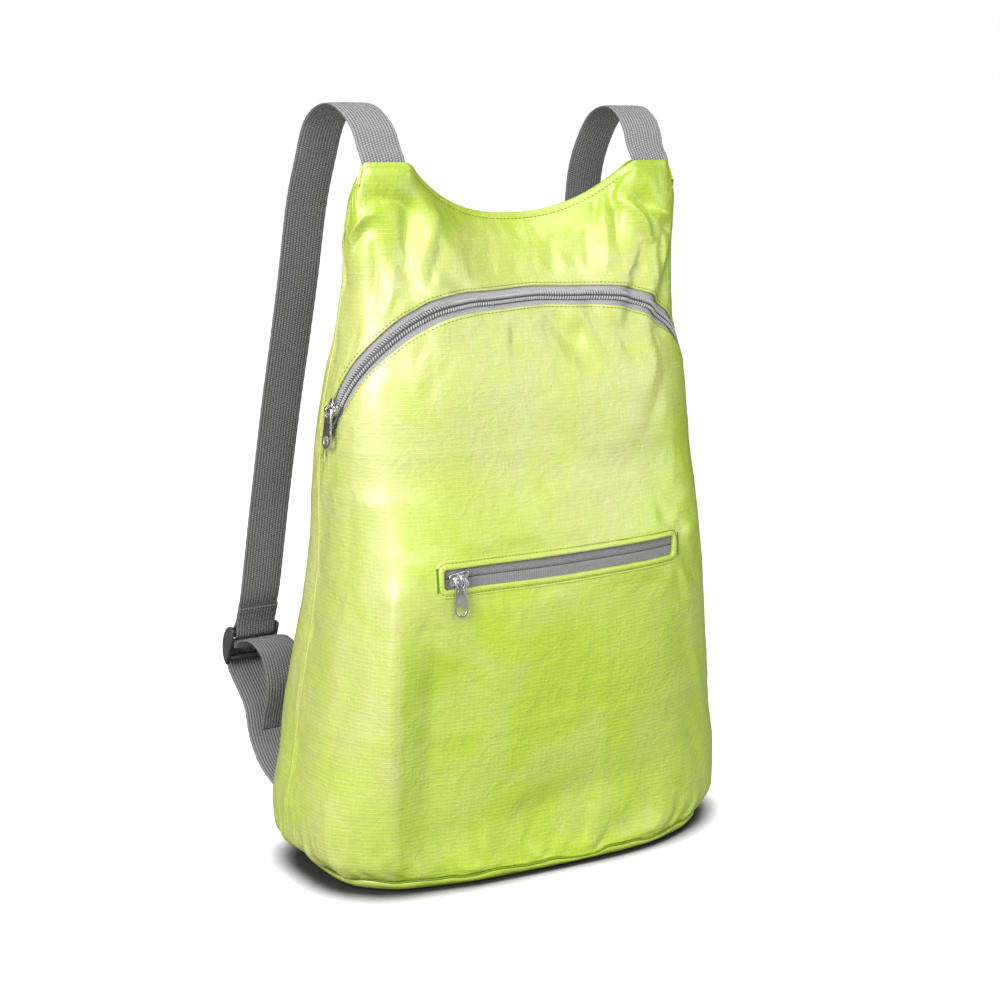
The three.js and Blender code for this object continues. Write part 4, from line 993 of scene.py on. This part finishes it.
# %% Plates with rounded edges
def plate_mesh(name, outlines, thickness, edge, steps=3):
    """outlines are lists of 2D points; the first is the rim and the rest are holes."""
    curve = bpy.data.curves.new(name, "CURVE")
    curve.dimensions, curve.fill_mode = "2D", "BOTH"
    curve.extrude, curve.bevel_depth = thickness / 2 - edge, edge
    curve.offset, curve.bevel_resolution = -edge, steps
    for outline in outlines:
        loop = curve.splines.new("POLY")
        loop.points.add(len(outline) - 1)
        loop.points.foreach_set("co", np.array([(x, y, 0, 1) for x, y in outline], np.float32).ravel())
        loop.use_cyclic_u = True
    holder = bpy.data.objects.new(name, curve)
    bpy.context.scene.collection.objects.link(holder)
    bpy.context.view_layer.update()
    mesh = bpy.data.meshes.new_from_object(holder.evaluated_get(bpy.context.evaluated_depsgraph_get()))
    bpy.data.objects.remove(holder)
    mesh.name = name
    shape = bmesh.new()
    shape.from_mesh(mesh)
    bmesh.ops.remove_doubles(shape, verts=shape.verts, dist=1e-6)
    bmesh.ops.recalc_face_normals(shape, faces=shape.faces)
    shape.to_mesh(mesh)
    shape.free()
    mesh.shade_smooth()
    return mesh


def arc(x, y, radius, start, end, steps=12):
    angles = np.radians(np.linspace(start, end, steps + 1))
    return [(x + radius * math.cos(t), y + radius * math.sin(t)) for t in angles]


def join_meshes(name, parts):
    """parts are (mesh, matrix) pairs, made one mesh."""
    shape = bmesh.new()
    for mesh, matrix in parts:
        copy = mesh.copy()
        copy.transform(matrix)
        shape.from_mesh(copy)
        bpy.data.meshes.remove(copy)
    joined = bpy.data.meshes.new(name)
    shape.to_mesh(joined)
    shape.free()
    joined.shade_smooth()
    return joined


def frame_matrix(x_axis, y_axis, z_axis, origin):
    matrix = Matrix.Identity(4)
    for k, axis in enumerate((x_axis, y_axis, z_axis, origin)):
        for row in range(3):
            matrix[row][k] = float(axis[row])
    return matrix


# %% Zip sliders and pulls
def swept_wire(name, line, width, height):
    line = np.asarray(line, float)
    along = np.gradient(line, axis=0)
    along /= np.linalg.norm(along, axis=1, keepdims=True)
    beside = np.broadcast_to(np.array([1.0, 0, 0]), along.shape)
    out = np.cross(along, beside)
    turn = np.linspace(0, 2 * np.pi, 12, endpoint=False)
    cos, sin = np.cos(turn), np.sin(turn)
    square = (np.abs(cos) ** 4 + np.abs(sin) ** 4) ** -0.25
    points = (line[:, None] + beside[:, None] * (cos * square * width / 2)[None, :, None]
              + out[:, None] * (sin * square * height / 2)[None, :, None])
    mesh = grid_mesh(name, points.transpose(1, 0, 2), points.transpose(1, 0, 2)[..., :2], closed=True)
    return close_ends(mesh)


def slider_outline(length, width):
    """The shield shape of a slider seen from above: wide shoulders, a notch, a narrower tail."""
    half = [(-0.50, 0.26), (-0.44, 0.33), (-0.30, 0.37), (-0.08, 0.40), (0.18, 0.46), (0.34, 0.50),
            (0.44, 0.47), (0.50, 0.37), (0.47, 0.22), (0.40, 0.10), (0.37, 0.0)]
    right = [(x * length, -y * width) for x, y in half]
    return right + [(x * length, y * width) for x, y in half[-2::-1]]


def slider(name, frame_at, high, turn, body_name, node, pull_node, label):
    """X across the pull, Y down the pull, Z out of the cloth, as in the CAD. high is the top plate."""
    top = plate_mesh(name + "_top", [slider_outline(0.0116, 0.0088)], 0.0013, 0.00045)
    crown = plate_mesh(name + "_crown", [slider_outline(0.0078, 0.0046)], 0.0008, 0.00035)
    rails = [plate_mesh(name + "_rail", [[(-0.0045, y * 0.0030), (0.0050, y * 0.0041), (0.0050, y * 0.0034),
                                          (-0.0045, y * 0.0024)][::int(y)]], 0.0020, 0.0003) for y in (1, -1)]
    arch = [(0, -0.0023, high - 0.0004), (0, -0.0024, high + 0.0008), (0, -0.0021, high + 0.0019),
            (0, -0.0013, high + 0.0028), (0, 0.0, high + 0.0031), (0, 0.0013, high + 0.0028),
            (0, 0.0021, high + 0.0019), (0, 0.0024, high + 0.0008), (0, 0.0023, high - 0.0004)]
    bail = swept_wire(name + "_bail", spline(arch, 0.0004), 0.0017, 0.0011)
    spin = Matrix.Rotation(turn, 4, "Z")
    parts = [(top, spin @ Matrix.Translation((0, 0, high - 0.00065))),
             (crown, spin @ Matrix.Translation((0.0002, 0, high + 0.00015))), (bail, Matrix.Identity(4))]
    parts += [(rail, spin @ Matrix.Translation((0, 0, high - 0.0019))) for rail in rails]
    mesh = join_meshes(name, parts)
    mesh.transform(frame_at)
    new_object(name, mesh, METAL, stands_for=[node])

    rim = ([(-0.0031, -0.0006), (-0.0026, -0.0010), (0.0026, -0.0010), (0.0031, -0.0006), (0.0033, 0.0040),
            (0.0035, 0.0090), (0.0043, 0.0158)] + arc(0, 0.0164, 0.0043, 0, 180, 20) + [(-0.0043, 0.0158),
            (-0.0035, 0.0090), (-0.0033, 0.0040)])
    window = [(-0.0019, 0.0006), (-0.0021, 0.0030), (-0.0012, 0.0040), (0.0012, 0.0040), (0.0021, 0.0030),
              (0.0019, 0.0006)]
    hole = arc(0, 0.0164, 0.0027, 360, 0, 24)[:-1]
    tab = plate_mesh(name + "_tab", [rim, window, hole], 0.0012, 0.0004)
    middle = [(-0.0021, 0.0054), (0.0021, 0.0054), (0.0026, 0.0118), (-0.0026, 0.0118)]
    raised = plate_mesh(name + "_raised", [middle], 0.0014, 0.0003)
    parts = [(tab, Matrix.Identity(4)), (raised, Matrix.Identity(4))]
    pull = join_meshes(pull_node.replace("_pull", "_tab"), parts)
    pull.transform(frame_at @ Matrix.Translation((0, 0, high + 0.0011)))
    new_object(label, pull, METAL, body_name, stands_for=[pull_node])


def slider_frame(origin, along, normal):
    down = np.array([0, 0, -1.0])
    down -= normal * (down @ normal)
    down /= np.linalg.norm(down)
    sideways = np.cross(down, normal)
    return frame_matrix(sideways, down, normal, origin), math.atan2(along @ down, along @ sideways)


SLIDER_PLATE = 0.0014
coil_top = COIL_HEIGHT - (TAPE_INSET - 2.5 * CLEARANCE - COIL_HEIGHT / 2) - COIL_HEIGHT / 2
MAIN_SLIDER = -0.84
origin, _, normal = bag_frame(np.array(MAIN_SLIDER), np.array(zip_height(MAIN_SLIDER)))
pair = np.array([MAIN_SLIDER - 0.004, MAIN_SLIDER + 0.004])
ends = bag_points("front", pair, zip_height(pair))
along = (ends[1] - ends[0]) / np.linalg.norm(ends[1] - ends[0])
matrix, turn = slider_frame(origin, along, normal)
slider("main_slider", matrix, coil_top + CLEARANCE + SLIDER_PLATE, turn, "main_zip_tab",
       "main_zip_slider", "main_zip_pull", "main_pull_tab")

pocket_share = POCKET_HEIGHT / BAG_HEIGHT
place = across_at("front", 0.008 - POCKET_LENGTH / 2, pocket_share)
origin, right, normal = bag_frame(np.array(place), np.array(pocket_share))
matrix, turn = slider_frame(origin, right, normal)
slider("pocket_slider", matrix, SLIDER_PLATE, turn, "pocket_zip_tab",
       "pocket_zip_slider", "pocket_zip_pull", "pocket_pull_tab")

# %% [markdown]
# The ladder-lock buckle is moulded plastic: two D-shaped rails joined by three bars that the webbing
# winds round.

# %% Buckles
def buckle(label, side):
    half, sole, deep = BUCKLE_LENGTH / 2, -0.0024, 0.009
    rim = [(-half, sole), (half, sole)]
    corner = np.linspace(0, 1, 10)[:, None]

    def bend(a, b, c):
        a, b, c = np.array(a), np.array(b), np.array(c)
        return [tuple(p) for p in (1 - corner) ** 2 * a + 2 * corner * (1 - corner) * b + corner**2 * c]

    rim += bend((half, sole), (half, deep * 0.5), (half * 0.45, deep * 0.78))[1:]
    rim += bend((half * 0.45, deep * 0.78), (0, deep), (-half * 0.45, deep * 0.78))[1:]
    rim += bend((-half * 0.45, deep * 0.78), (-half, deep * 0.5), (-half, sole))[1:-1]
    inner = STRAP_WIDTH / 2 + 0.0008
    rail = plate_mesh("rail", [rim], 0.0026, 0.0008)
    parts = [(rail, Matrix.Translation((0, 0, s * (inner + 0.0013)))) for s in (-1, 1)]
    bar = plate_mesh("bar", [[(-0.0014, -0.0014), (0.0014, -0.0014), (0.0014, 0.0014), (-0.0014, 0.0014)]],
                     inner * 2 + 0.002, 0.0004)
    parts += [(bar, Matrix.Translation((along, 0, 0))) for along in (FIRST_BAR, 0, half - BUCKLE_BAR)]
    mesh = join_meshes(f"ladder_buckle_{label}", parts)
    down = np.array([0, math.sin(BUCKLE_TILT), -math.cos(BUCKLE_TILT)])
    rear = np.array([0, math.cos(BUCKLE_TILT), math.sin(BUCKLE_TILT)])
    mesh.transform(frame_matrix(down, rear, np.cross(down, rear),
                                (side * (STRAP_MIDDLE + STRAP_SPREAD), BUCKLE_BACK, BUCKLE_HEIGHT)))
    new_object(f"ladder_buckle_{label}", mesh, PLASTIC, stands_for=[f"buckle_{label}"])


for label, side in (("left", -1), ("right", 1)):
    buckle(label, side)

# %% [markdown]
# Ripstop gets its name from thicker threads woven in at every few millimetres, which make a fine
# grid. The grid is a shader group, so the front, back and base share it, and it reads the measured
# UV map. A second group gives the patchy tone of thin nylon and the crumple too fine for the mesh. A
# third paints sheen as paler colour up high and on the left, and paints shade as deeper colour
# beside the left front corner and at the horn tips. Two more are for woven bands, whose gaps get
# painted shade, and for metal.

# %% Shared effects
def effect(name, inputs, outputs):
    """A shader node group with named inputs (name, default) and float outputs."""
    tree = bpy.data.node_groups.new(name, "ShaderNodeTree")
    tree.interface.new_socket("Vector", in_out="INPUT", socket_type="NodeSocketVector")
    for key, value in inputs:
        tree.interface.new_socket(key, in_out="INPUT", socket_type="NodeSocketFloat").default_value = value
    for key in outputs:
        tree.interface.new_socket(key, in_out="OUTPUT", socket_type="NodeSocketFloat")
    return tree, tree.nodes.new("NodeGroupInput"), tree.nodes.new("NodeGroupOutput")


def value_of(tree, operation, *inputs, clamp=False):
    node = tree.nodes.new("ShaderNodeMath")
    node.operation, node.use_clamp = operation, clamp
    for k, source in enumerate(inputs):
        if isinstance(source, (int, float)):
            node.inputs[k].default_value = source
        else:
            tree.links.new(source, node.inputs[k])
    return node.outputs[0]


def threads(tree, coordinate, spacing, width):
    """1 on a thread that repeats at that spacing, 0 between, with soft sides."""
    phase = value_of(tree, "FRACT", value_of(tree, "DIVIDE", coordinate, spacing))
    beside = value_of(tree, "ABSOLUTE", value_of(tree, "SUBTRACT", phase, 0.5))
    off = value_of(tree, "MULTIPLY", beside, spacing)
    return value_of(tree, "SUBTRACT", 1.0, value_of(tree, "DIVIDE", off, width), clamp=True)


def noise_of(tree, vector, scale, detail=2.0, roughness=0.5, distortion=0.0):
    node = tree.nodes.new("ShaderNodeTexNoise")
    tree.links.new(vector, node.inputs["Vector"])
    wanted = {"Scale": scale, "Detail": detail, "Roughness": roughness, "Distortion": distortion}
    for key, value in wanted.items():
        if isinstance(value, (int, float)):
            node.inputs[key].default_value = value
        else:
            tree.links.new(value, node.inputs[key])
    return node.outputs["Fac"]


def split(tree, vector):
    node = tree.nodes.new("ShaderNodeSeparateXYZ")
    tree.links.new(vector, node.inputs[0])
    return node.outputs


def ripstop_effect():
    tree, given, made = effect("ripstop_grid", [("Across", 0.0027), ("Up", 0.0023), ("Thread", 0.00042)],
                               ["Grid", "Height"])
    x, y, _ = split(tree, given.outputs["Vector"])
    swing = value_of(tree, "SUBTRACT", noise_of(tree, given.outputs["Vector"], 60.0), 0.5)
    wander = value_of(tree, "MULTIPLY", swing, 0.0012)
    rows = threads(tree, value_of(tree, "ADD", y, wander), given.outputs["Up"], given.outputs["Thread"])
    x_moved = value_of(tree, "ADD", x, wander)
    columns = threads(tree, x_moved, given.outputs["Across"], given.outputs["Thread"])
    fine = value_of(tree, "MULTIPLY", threads(tree, y, 0.00052, 0.00026), threads(tree, x, 0.00052, 0.00026))
    grid = value_of(tree, "MAXIMUM", rows, value_of(tree, "MULTIPLY", columns, 0.6))
    worn = noise_of(tree, given.outputs["Vector"], 140.0, 3.0, 0.6)
    broken = value_of(tree, "MULTIPLY", value_of(tree, "SUBTRACT", worn, 0.34), 3.2, clamp=True)
    tree.links.new(value_of(tree, "MULTIPLY", grid, broken), made.inputs["Grid"])
    tree.links.new(value_of(tree, "ADD", grid, value_of(tree, "MULTIPLY", fine, 0.25)), made.inputs["Height"])
    return tree


def crumple_effect():
    tree, given, made = effect("pressed_crumple", [("Scale", 70.0), ("Sharp", 1.0)], ["Crease", "Patch"])
    vector = given.outputs["Vector"]
    wide = noise_of(tree, vector, given.outputs["Scale"], 3.0, 0.55, 0.6)
    ridge = value_of(tree, "ABSOLUTE", value_of(tree, "SUBTRACT", wide, 0.5))
    peak = value_of(tree, "SUBTRACT", 1.0, value_of(tree, "MULTIPLY", ridge, 4.0), clamp=True)
    crease = value_of(tree, "POWER", peak, given.outputs["Sharp"])
    patch = noise_of(tree, vector, value_of(tree, "MULTIPLY", given.outputs["Scale"], 0.3), 2.0, 0.5, 0.8)
    tree.links.new(crease, made.inputs["Crease"])
    tree.links.new(patch, made.inputs["Patch"])
    return tree


def band_effect():
    """Ribbed webbing or tape: lengthwise ribs crossed by rows of small bumps, with painted shade in the gaps.
    """
    tree, given, made = effect("woven_band", [("Rib", 0.0016), ("Pick", 0.0012)], ["Height", "GapShade"])
    x, y, _ = split(tree, given.outputs["Vector"])
    rib = value_of(tree, "DIVIDE", x, given.outputs["Rib"])
    half = value_of(tree, "MULTIPLY", value_of(tree, "PINGPONG", value_of(tree, "FLOOR", rib), 1.0), 0.5)
    pick = value_of(tree, "ADD", value_of(tree, "DIVIDE", y, given.outputs["Pick"]), half)
    a = value_of(tree, "SINE", value_of(tree, "MULTIPLY", value_of(tree, "FRACT", rib), math.pi))
    b = value_of(tree, "SINE", value_of(tree, "MULTIPLY", value_of(tree, "FRACT", pick), math.pi))
    height = value_of(tree, "MULTIPLY", a, value_of(tree, "ADD", value_of(tree, "MULTIPLY", b, 0.75), 0.25))
    tree.links.new(height, made.inputs["Height"])
    # Painted shade: the colour goes dark where the weave is low.
    dark = value_of(tree, "SUBTRACT", 1.0, value_of(tree, "MULTIPLY", height, 1.3), clamp=True)
    tree.links.new(dark, made.inputs["GapShade"])
    return tree


def wear_effect():
    tree, given, made = effect("rubbed_metal", [("Scale", 900.0)], ["Scratch", "Smudge"])
    stretched = tree.nodes.new("ShaderNodeMapping")
    stretched.inputs["Scale"].default_value = (1.0, 1.0, 0.12)
    tree.links.new(given.outputs["Vector"], stretched.inputs["Vector"])
    scratch = noise_of(tree, stretched.outputs["Vector"], given.outputs["Scale"], 3.0)
    wide = value_of(tree, "MULTIPLY", given.outputs["Scale"], 0.4)
    tree.links.new(scratch, made.inputs["Scratch"])
    tree.links.new(noise_of(tree, given.outputs["Vector"], wide), made.inputs["Smudge"])
    return tree


def painted_sheen_and_shade_effect():
    """Painted sheen up high and beyond the left front corner; painted shade beside that corner and at the
    horn tips.
    """
    tree, given, made = effect("painted_sheen_and_shade", [("Wander", 0.010)], ["Pale", "PaintedShade"])
    vector = given.outputs["Vector"]
    x, _, z = split(tree, vector)
    swing = value_of(tree, "SUBTRACT", noise_of(tree, vector, 22.0, 2.0, 0.5, 0.4), 0.5)
    swing = value_of(tree, "MULTIPLY", swing, given.outputs["Wander"])
    x = value_of(tree, "ADD", x, swing)
    z = value_of(tree, "ADD", z, value_of(tree, "MULTIPLY", swing, 4.0))
    lift = value_of(tree, "MAXIMUM", value_of(tree, "SUBTRACT", z, 0.2), 0.0)
    right = value_of(tree, "SUBTRACT", x, value_of(tree, "MULTIPLY", lift, 0.25))
    high = value_of(tree, "MULTIPLY", ranged(tree, z, 0.130, 0.250, 0.15, 0.85),
                    ranged(tree, right, 0.030, 0.080, 1.0, 0.1))
    corner = ranged(tree, x, -0.0955, -0.0990, 0.0, 1.0)
    left = value_of(tree, "MULTIPLY", corner, ranged(tree, z, 0.040, 0.200, 0.55, 1.0))
    horn = ranged(tree, z, 0.335, 0.372, 1.0, 0.2)
    either = value_of(tree, "MAXIMUM", high, left)
    tree.links.new(value_of(tree, "MULTIPLY", either, horn), made.inputs["Pale"])
    beside = value_of(tree, "MULTIPLY", value_of(tree, "SUBTRACT", 1.0, corner),
                      ranged(tree, x, -0.080, -0.050, 1.0, 0.0))
    beside = value_of(tree, "MULTIPLY", beside, ranged(tree, z, 0.140, 0.175, 1.0, 0.0))
    tips = ranged(tree, z, 0.356, 0.384, 0.0, 0.9)
    tree.links.new(value_of(tree, "MAXIMUM", beside, tips), made.inputs["PaintedShade"])
    return tree


# %% Helpers for materials
def shader_parts(material):
    tree = material.node_tree
    bsdf = next(n for n in tree.nodes if n.type == "BSDF_PRINCIPLED")
    return tree, bsdf


def use_effect(tree, group, vector, **values):
    node = tree.nodes.new("ShaderNodeGroup")
    node.node_tree = group
    tree.links.new(vector, node.inputs["Vector"])
    for key, value in values.items():
        node.inputs[key].default_value = value
    return node.outputs


def uv_of(tree):
    return tree.nodes.new("ShaderNodeUVMap").outputs["UV"]


def object_of(tree):
    return tree.nodes.new("ShaderNodeTexCoord").outputs["Object"]


def mixed(tree, factor, a, b, blend="MIX"):
    node = tree.nodes.new("ShaderNodeMix")
    node.data_type, node.blend_type = "RGBA", blend
    for key, value in ((0, factor), (6, a), (7, b)):
        if isinstance(value, (int, float)):
            node.inputs[key].default_value = value
        elif isinstance(value, tuple):
            node.inputs[key].default_value = (*value, 1)
        else:
            tree.links.new(value, node.inputs[key])
    return node.outputs[2]


def ranged(tree, value, low, high, to_low, to_high):
    node = tree.nodes.new("ShaderNodeMapRange")
    tree.links.new(value, node.inputs["Value"])
    for key, number in (("From Min", low), ("From Max", high), ("To Min", to_low), ("To Max", to_high)):
        node.inputs[key].default_value = number
    return node.outputs["Result"]


def bumped(tree, bsdf, height, distance, strength=1.0):
    node = tree.nodes.new("ShaderNodeBump")
    node.inputs["Distance"].default_value = distance
    node.inputs["Strength"].default_value = strength
    tree.links.new(height, node.inputs["Height"])
    tree.links.new(node.outputs["Normal"], bsdf.inputs["Normal"])


RIPSTOP_GRID, PRESSED, PAINTED_SHEEN_AND_SHADE = ripstop_effect(), crumple_effect(), painted_sheen_and_shade_effect()
BAND, RUBBED = band_effect(), wear_effect()

# %% [markdown]
# Thin lime nylon: the dye is strong where it is in shade, and a broad soft shine washes it out
# towards the window. So the colour is saturated, and a satin coat gives the shine. On top of that
# the colour has a painted sheen, paler up high and on the left side, and a painted shade, deeper
# beside the left front corner and at the horn tips.

# %% Lime ripstop
tree, bsdf = shader_parts(RIPSTOP)
grid = use_effect(tree, RIPSTOP_GRID, uv_of(tree))
press = use_effect(tree, PRESSED, object_of(tree), Scale=75.0, Sharp=1.5)
painted_light = use_effect(tree, PAINTED_SHEEN_AND_SHADE, object_of(tree))
patchy = ranged(tree, press["Patch"], 0.40, 0.60, -0.22, 0.22)
# Painted sheen: the colour goes paler up high and on the left, with random patches on top.
painted_sheen_and_patches = value_of(tree, "ADD", painted_light["Pale"], patchy, clamp=True)
tone = mixed(tree, painted_sheen_and_patches, (0.460, 0.635, 0.005), (0.545, 0.580, 0.160))
# Painted shade: the colour goes deeper beside the left front corner and at the horn tips.
deep = value_of(tree, "MULTIPLY", painted_light["PaintedShade"], ranged(tree, press["Patch"], 0.35, 0.60, 0.95, 0.25))
tone = mixed(tree, deep, tone, (0.345, 0.505, 0.003))
# The grid's lighter threads show more where the sheen is painted.
grid_shown = value_of(tree, "MULTIPLY", grid["Grid"], ranged(tree, painted_sheen_and_patches, 0.0, 1.0, 0.42, 0.70))
tone = mixed(tree, grid_shown, tone, (0.68, 0.78, 0.26))
tree.links.new(tone, bsdf.inputs["Base Color"])
tree.links.new(ranged(tree, press["Patch"], 0.3, 0.7, 0.38, 0.52), bsdf.inputs["Roughness"])
height = value_of(tree, "ADD", value_of(tree, "MULTIPLY", grid["Height"], 0.24),
                  value_of(tree, "MULTIPLY", press["Crease"], 0.60))
bumped(tree, bsdf, height, 0.0005)
bsdf.inputs["Coat Weight"].default_value = 1.0
bsdf.inputs["Coat IOR"].default_value = 1.9
bsdf.inputs["Coat Roughness"].default_value = 0.42
bsdf.inputs["Specular IOR Level"].default_value = 0.3

# %% Tapes, coil and thread
for material, dark, light in ((ZIP_TAPE, (0.30, 0.30, 0.305), (0.46, 0.46, 0.465)),
                              (POCKET_TAPE, (0.12, 0.12, 0.123), (0.34, 0.34, 0.345))):
    tree, bsdf = shader_parts(material)
    band = use_effect(tree, BAND, uv_of(tree), Rib=0.0011, Pick=0.0010)
    spots = noise_of(tree, object_of(tree), 1400.0, 2.0, 0.7)
    # Partly painted shade, darker in the weave's low places, and partly random flecks.
    mix = value_of(tree, "ADD", value_of(tree, "MULTIPLY", band["Height"], 0.6),
                   value_of(tree, "MULTIPLY", spots, 0.5), clamp=True)
    tree.links.new(mixed(tree, mix, dark, light), bsdf.inputs["Base Color"])
    bumped(tree, bsdf, band["Height"], 0.00025)
    bsdf.inputs["Roughness"].default_value = 0.75
    bsdf.inputs["Sheen Weight"].default_value = 0.2

tree, bsdf = shader_parts(COIL)
tone = mixed(tree, noise_of(tree, object_of(tree), 500.0), (0.34, 0.34, 0.345), (0.50, 0.50, 0.505))
tree.links.new(tone, bsdf.inputs["Base Color"])
bsdf.inputs["Roughness"].default_value = 0.38
for material, low, high in ((THREAD, (0.10, 0.19, 0.004), (0.22, 0.35, 0.010)),
                            (GREY_THREAD, (0.035, 0.035, 0.037), (0.09, 0.09, 0.093))):
    tree, bsdf = shader_parts(material)
    tree.links.new(mixed(tree, noise_of(tree, object_of(tree), 2500.0), low, high), bsdf.inputs["Base Color"])
    bsdf.inputs["Roughness"].default_value = 0.6

# %% Webbing, metal and plastic
tree, bsdf = shader_parts(WEBBING)
band = use_effect(tree, BAND, uv_of(tree), Rib=0.0018, Pick=0.00135)
fuzz = noise_of(tree, object_of(tree), 700.0, 3.0, 0.6)
along_band = split(tree, uv_of(tree))[1]
# Painted light: the first 5 to 13 cm of each band is lighter, which on a shoulder strap is its lit top.
painted_light_start = ranged(tree, along_band, 0.05, 0.13, 1.0, 0.0)
tone = mixed(tree, painted_light_start, (0.20, 0.20, 0.206), (0.38, 0.38, 0.385))
# Painted shade: the weave's gaps go near black.
tone = mixed(tree, value_of(tree, "MULTIPLY", band["GapShade"], 0.85), tone, (0.040, 0.040, 0.042))
tone = mixed(tree, ranged(tree, fuzz, 0.3, 0.7, 0.0, 0.06), tone, (0.40, 0.40, 0.405))
tree.links.new(tone, bsdf.inputs["Base Color"])
bumped(tree, bsdf, band["Height"], 0.0006)
bsdf.inputs["Roughness"].default_value = 0.62
bsdf.inputs["Sheen Weight"].default_value = 0.3

tree, bsdf = shader_parts(METAL)
rub = use_effect(tree, RUBBED, object_of(tree), Scale=900.0)
tree.links.new(mixed(tree, rub["Smudge"], (0.45, 0.45, 0.455), (0.90, 0.90, 0.91)), bsdf.inputs["Base Color"])
tree.links.new(ranged(tree, rub["Scratch"], 0.3, 0.7, 0.16, 0.32), bsdf.inputs["Roughness"])
bsdf.inputs["Metallic"].default_value = 1.0
bumped(tree, bsdf, rub["Scratch"], 0.00003)

tree, bsdf = shader_parts(PLASTIC)
rub = use_effect(tree, RUBBED, object_of(tree), Scale=1500.0)
tone = mixed(tree, rub["Smudge"], (0.035, 0.036, 0.038), (0.075, 0.076, 0.08))
tree.links.new(tone, bsdf.inputs["Base Color"])
tree.links.new(ranged(tree, rub["Scratch"], 0.3, 0.7, 0.30, 0.45), bsdf.inputs["Roughness"])
bumped(tree, bsdf, rub["Smudge"], 0.00004)

# %% [markdown]
# The studio: a white floor that runs into a white surround, a large soft light from the left, and
# weaker ones from the front, the right and above. The floor and the surround show white to the camera
# but hardly light the cloth. Close to the base the floor goes dark, where little light gets in.

# %% Floor and lights
floor_mesh = bpy.data.meshes.new("floor")
floor_mesh.from_pydata([(-6, -6, 0), (6, -6, 0), (6, 6, 0), (-6, 6, 0)], [], [(0, 1, 2, 3)])
floor = bpy.data.objects.new("floor", floor_mesh)
floor.location.z = -0.0002
bpy.context.scene.collection.objects.link(floor)
white = new_material("white_floor")
floor_mesh.materials.append(white)
tree, bsdf = shader_parts(white)
bsdf.inputs["Roughness"].default_value = 0.8
bsdf.inputs["Emission Color"].default_value = (1, 1, 1, 1)
openness = tree.nodes.new("ShaderNodeAmbientOcclusion")
openness.samples = 16
openness.inputs["Distance"].default_value = 0.024
lit = ranged(tree, openness.outputs["AO"], 0.42, 0.84, 0.0, 1.0)
tone = mixed(tree, noise_of(tree, object_of(tree), 3.0), (0.34, 0.34, 0.34), (0.37, 0.37, 0.37))
tree.links.new(mixed(tree, lit, (0.03, 0.03, 0.03), tone), bsdf.inputs["Base Color"])
shown = tree.nodes.new("ShaderNodeLightPath").outputs["Is Camera Ray"]
tree.links.new(value_of(tree, "MULTIPLY", lit, shown), bsdf.inputs["Emission Strength"])

world = bpy.data.worlds.new("studio")
bpy.context.scene.world = world
world.use_nodes = True
tree = world.node_tree
background = next(n for n in tree.nodes if n.type == "BACKGROUND")
background.inputs["Color"].default_value = (1, 1, 1, 1)
seen = tree.nodes.new("ShaderNodeLightPath").outputs["Is Camera Ray"]
tree.links.new(ranged(tree, seen, 0, 1, 0.16, 1.0), background.inputs["Strength"])
bpy.context.scene.view_settings.view_transform = "Standard"


def soft_light(name, place, target, size, power):
    data = bpy.data.lights.new(name, "AREA")
    data.shape, data.size, data.size_y, data.energy = "RECTANGLE", size[0], size[1], power
    lamp = bpy.data.objects.new(name, data)
    lamp.location = place
    lamp.rotation_euler = (Vector(target) - Vector(place)).to_track_quat("-Z", "Y").to_euler()
    bpy.context.scene.collection.objects.link(lamp)


soft_light("window_left", (-1.25, -0.65, 0.85), (0, 0, 0.22), (0.7, 0.9), 25)
soft_light("front_left", (-0.38, -1.35, 1.15), (0, 0, 0.25), (0.35, 0.7), 9)
soft_light("fill_right", (1.1, -1.1, 0.5), (0, 0, 0.2), (0.8, 1.0), 6.5)
soft_light("top", (0.1, -0.3, 1.6), (0, 0, 0.2), (0.8, 0.8), 6)
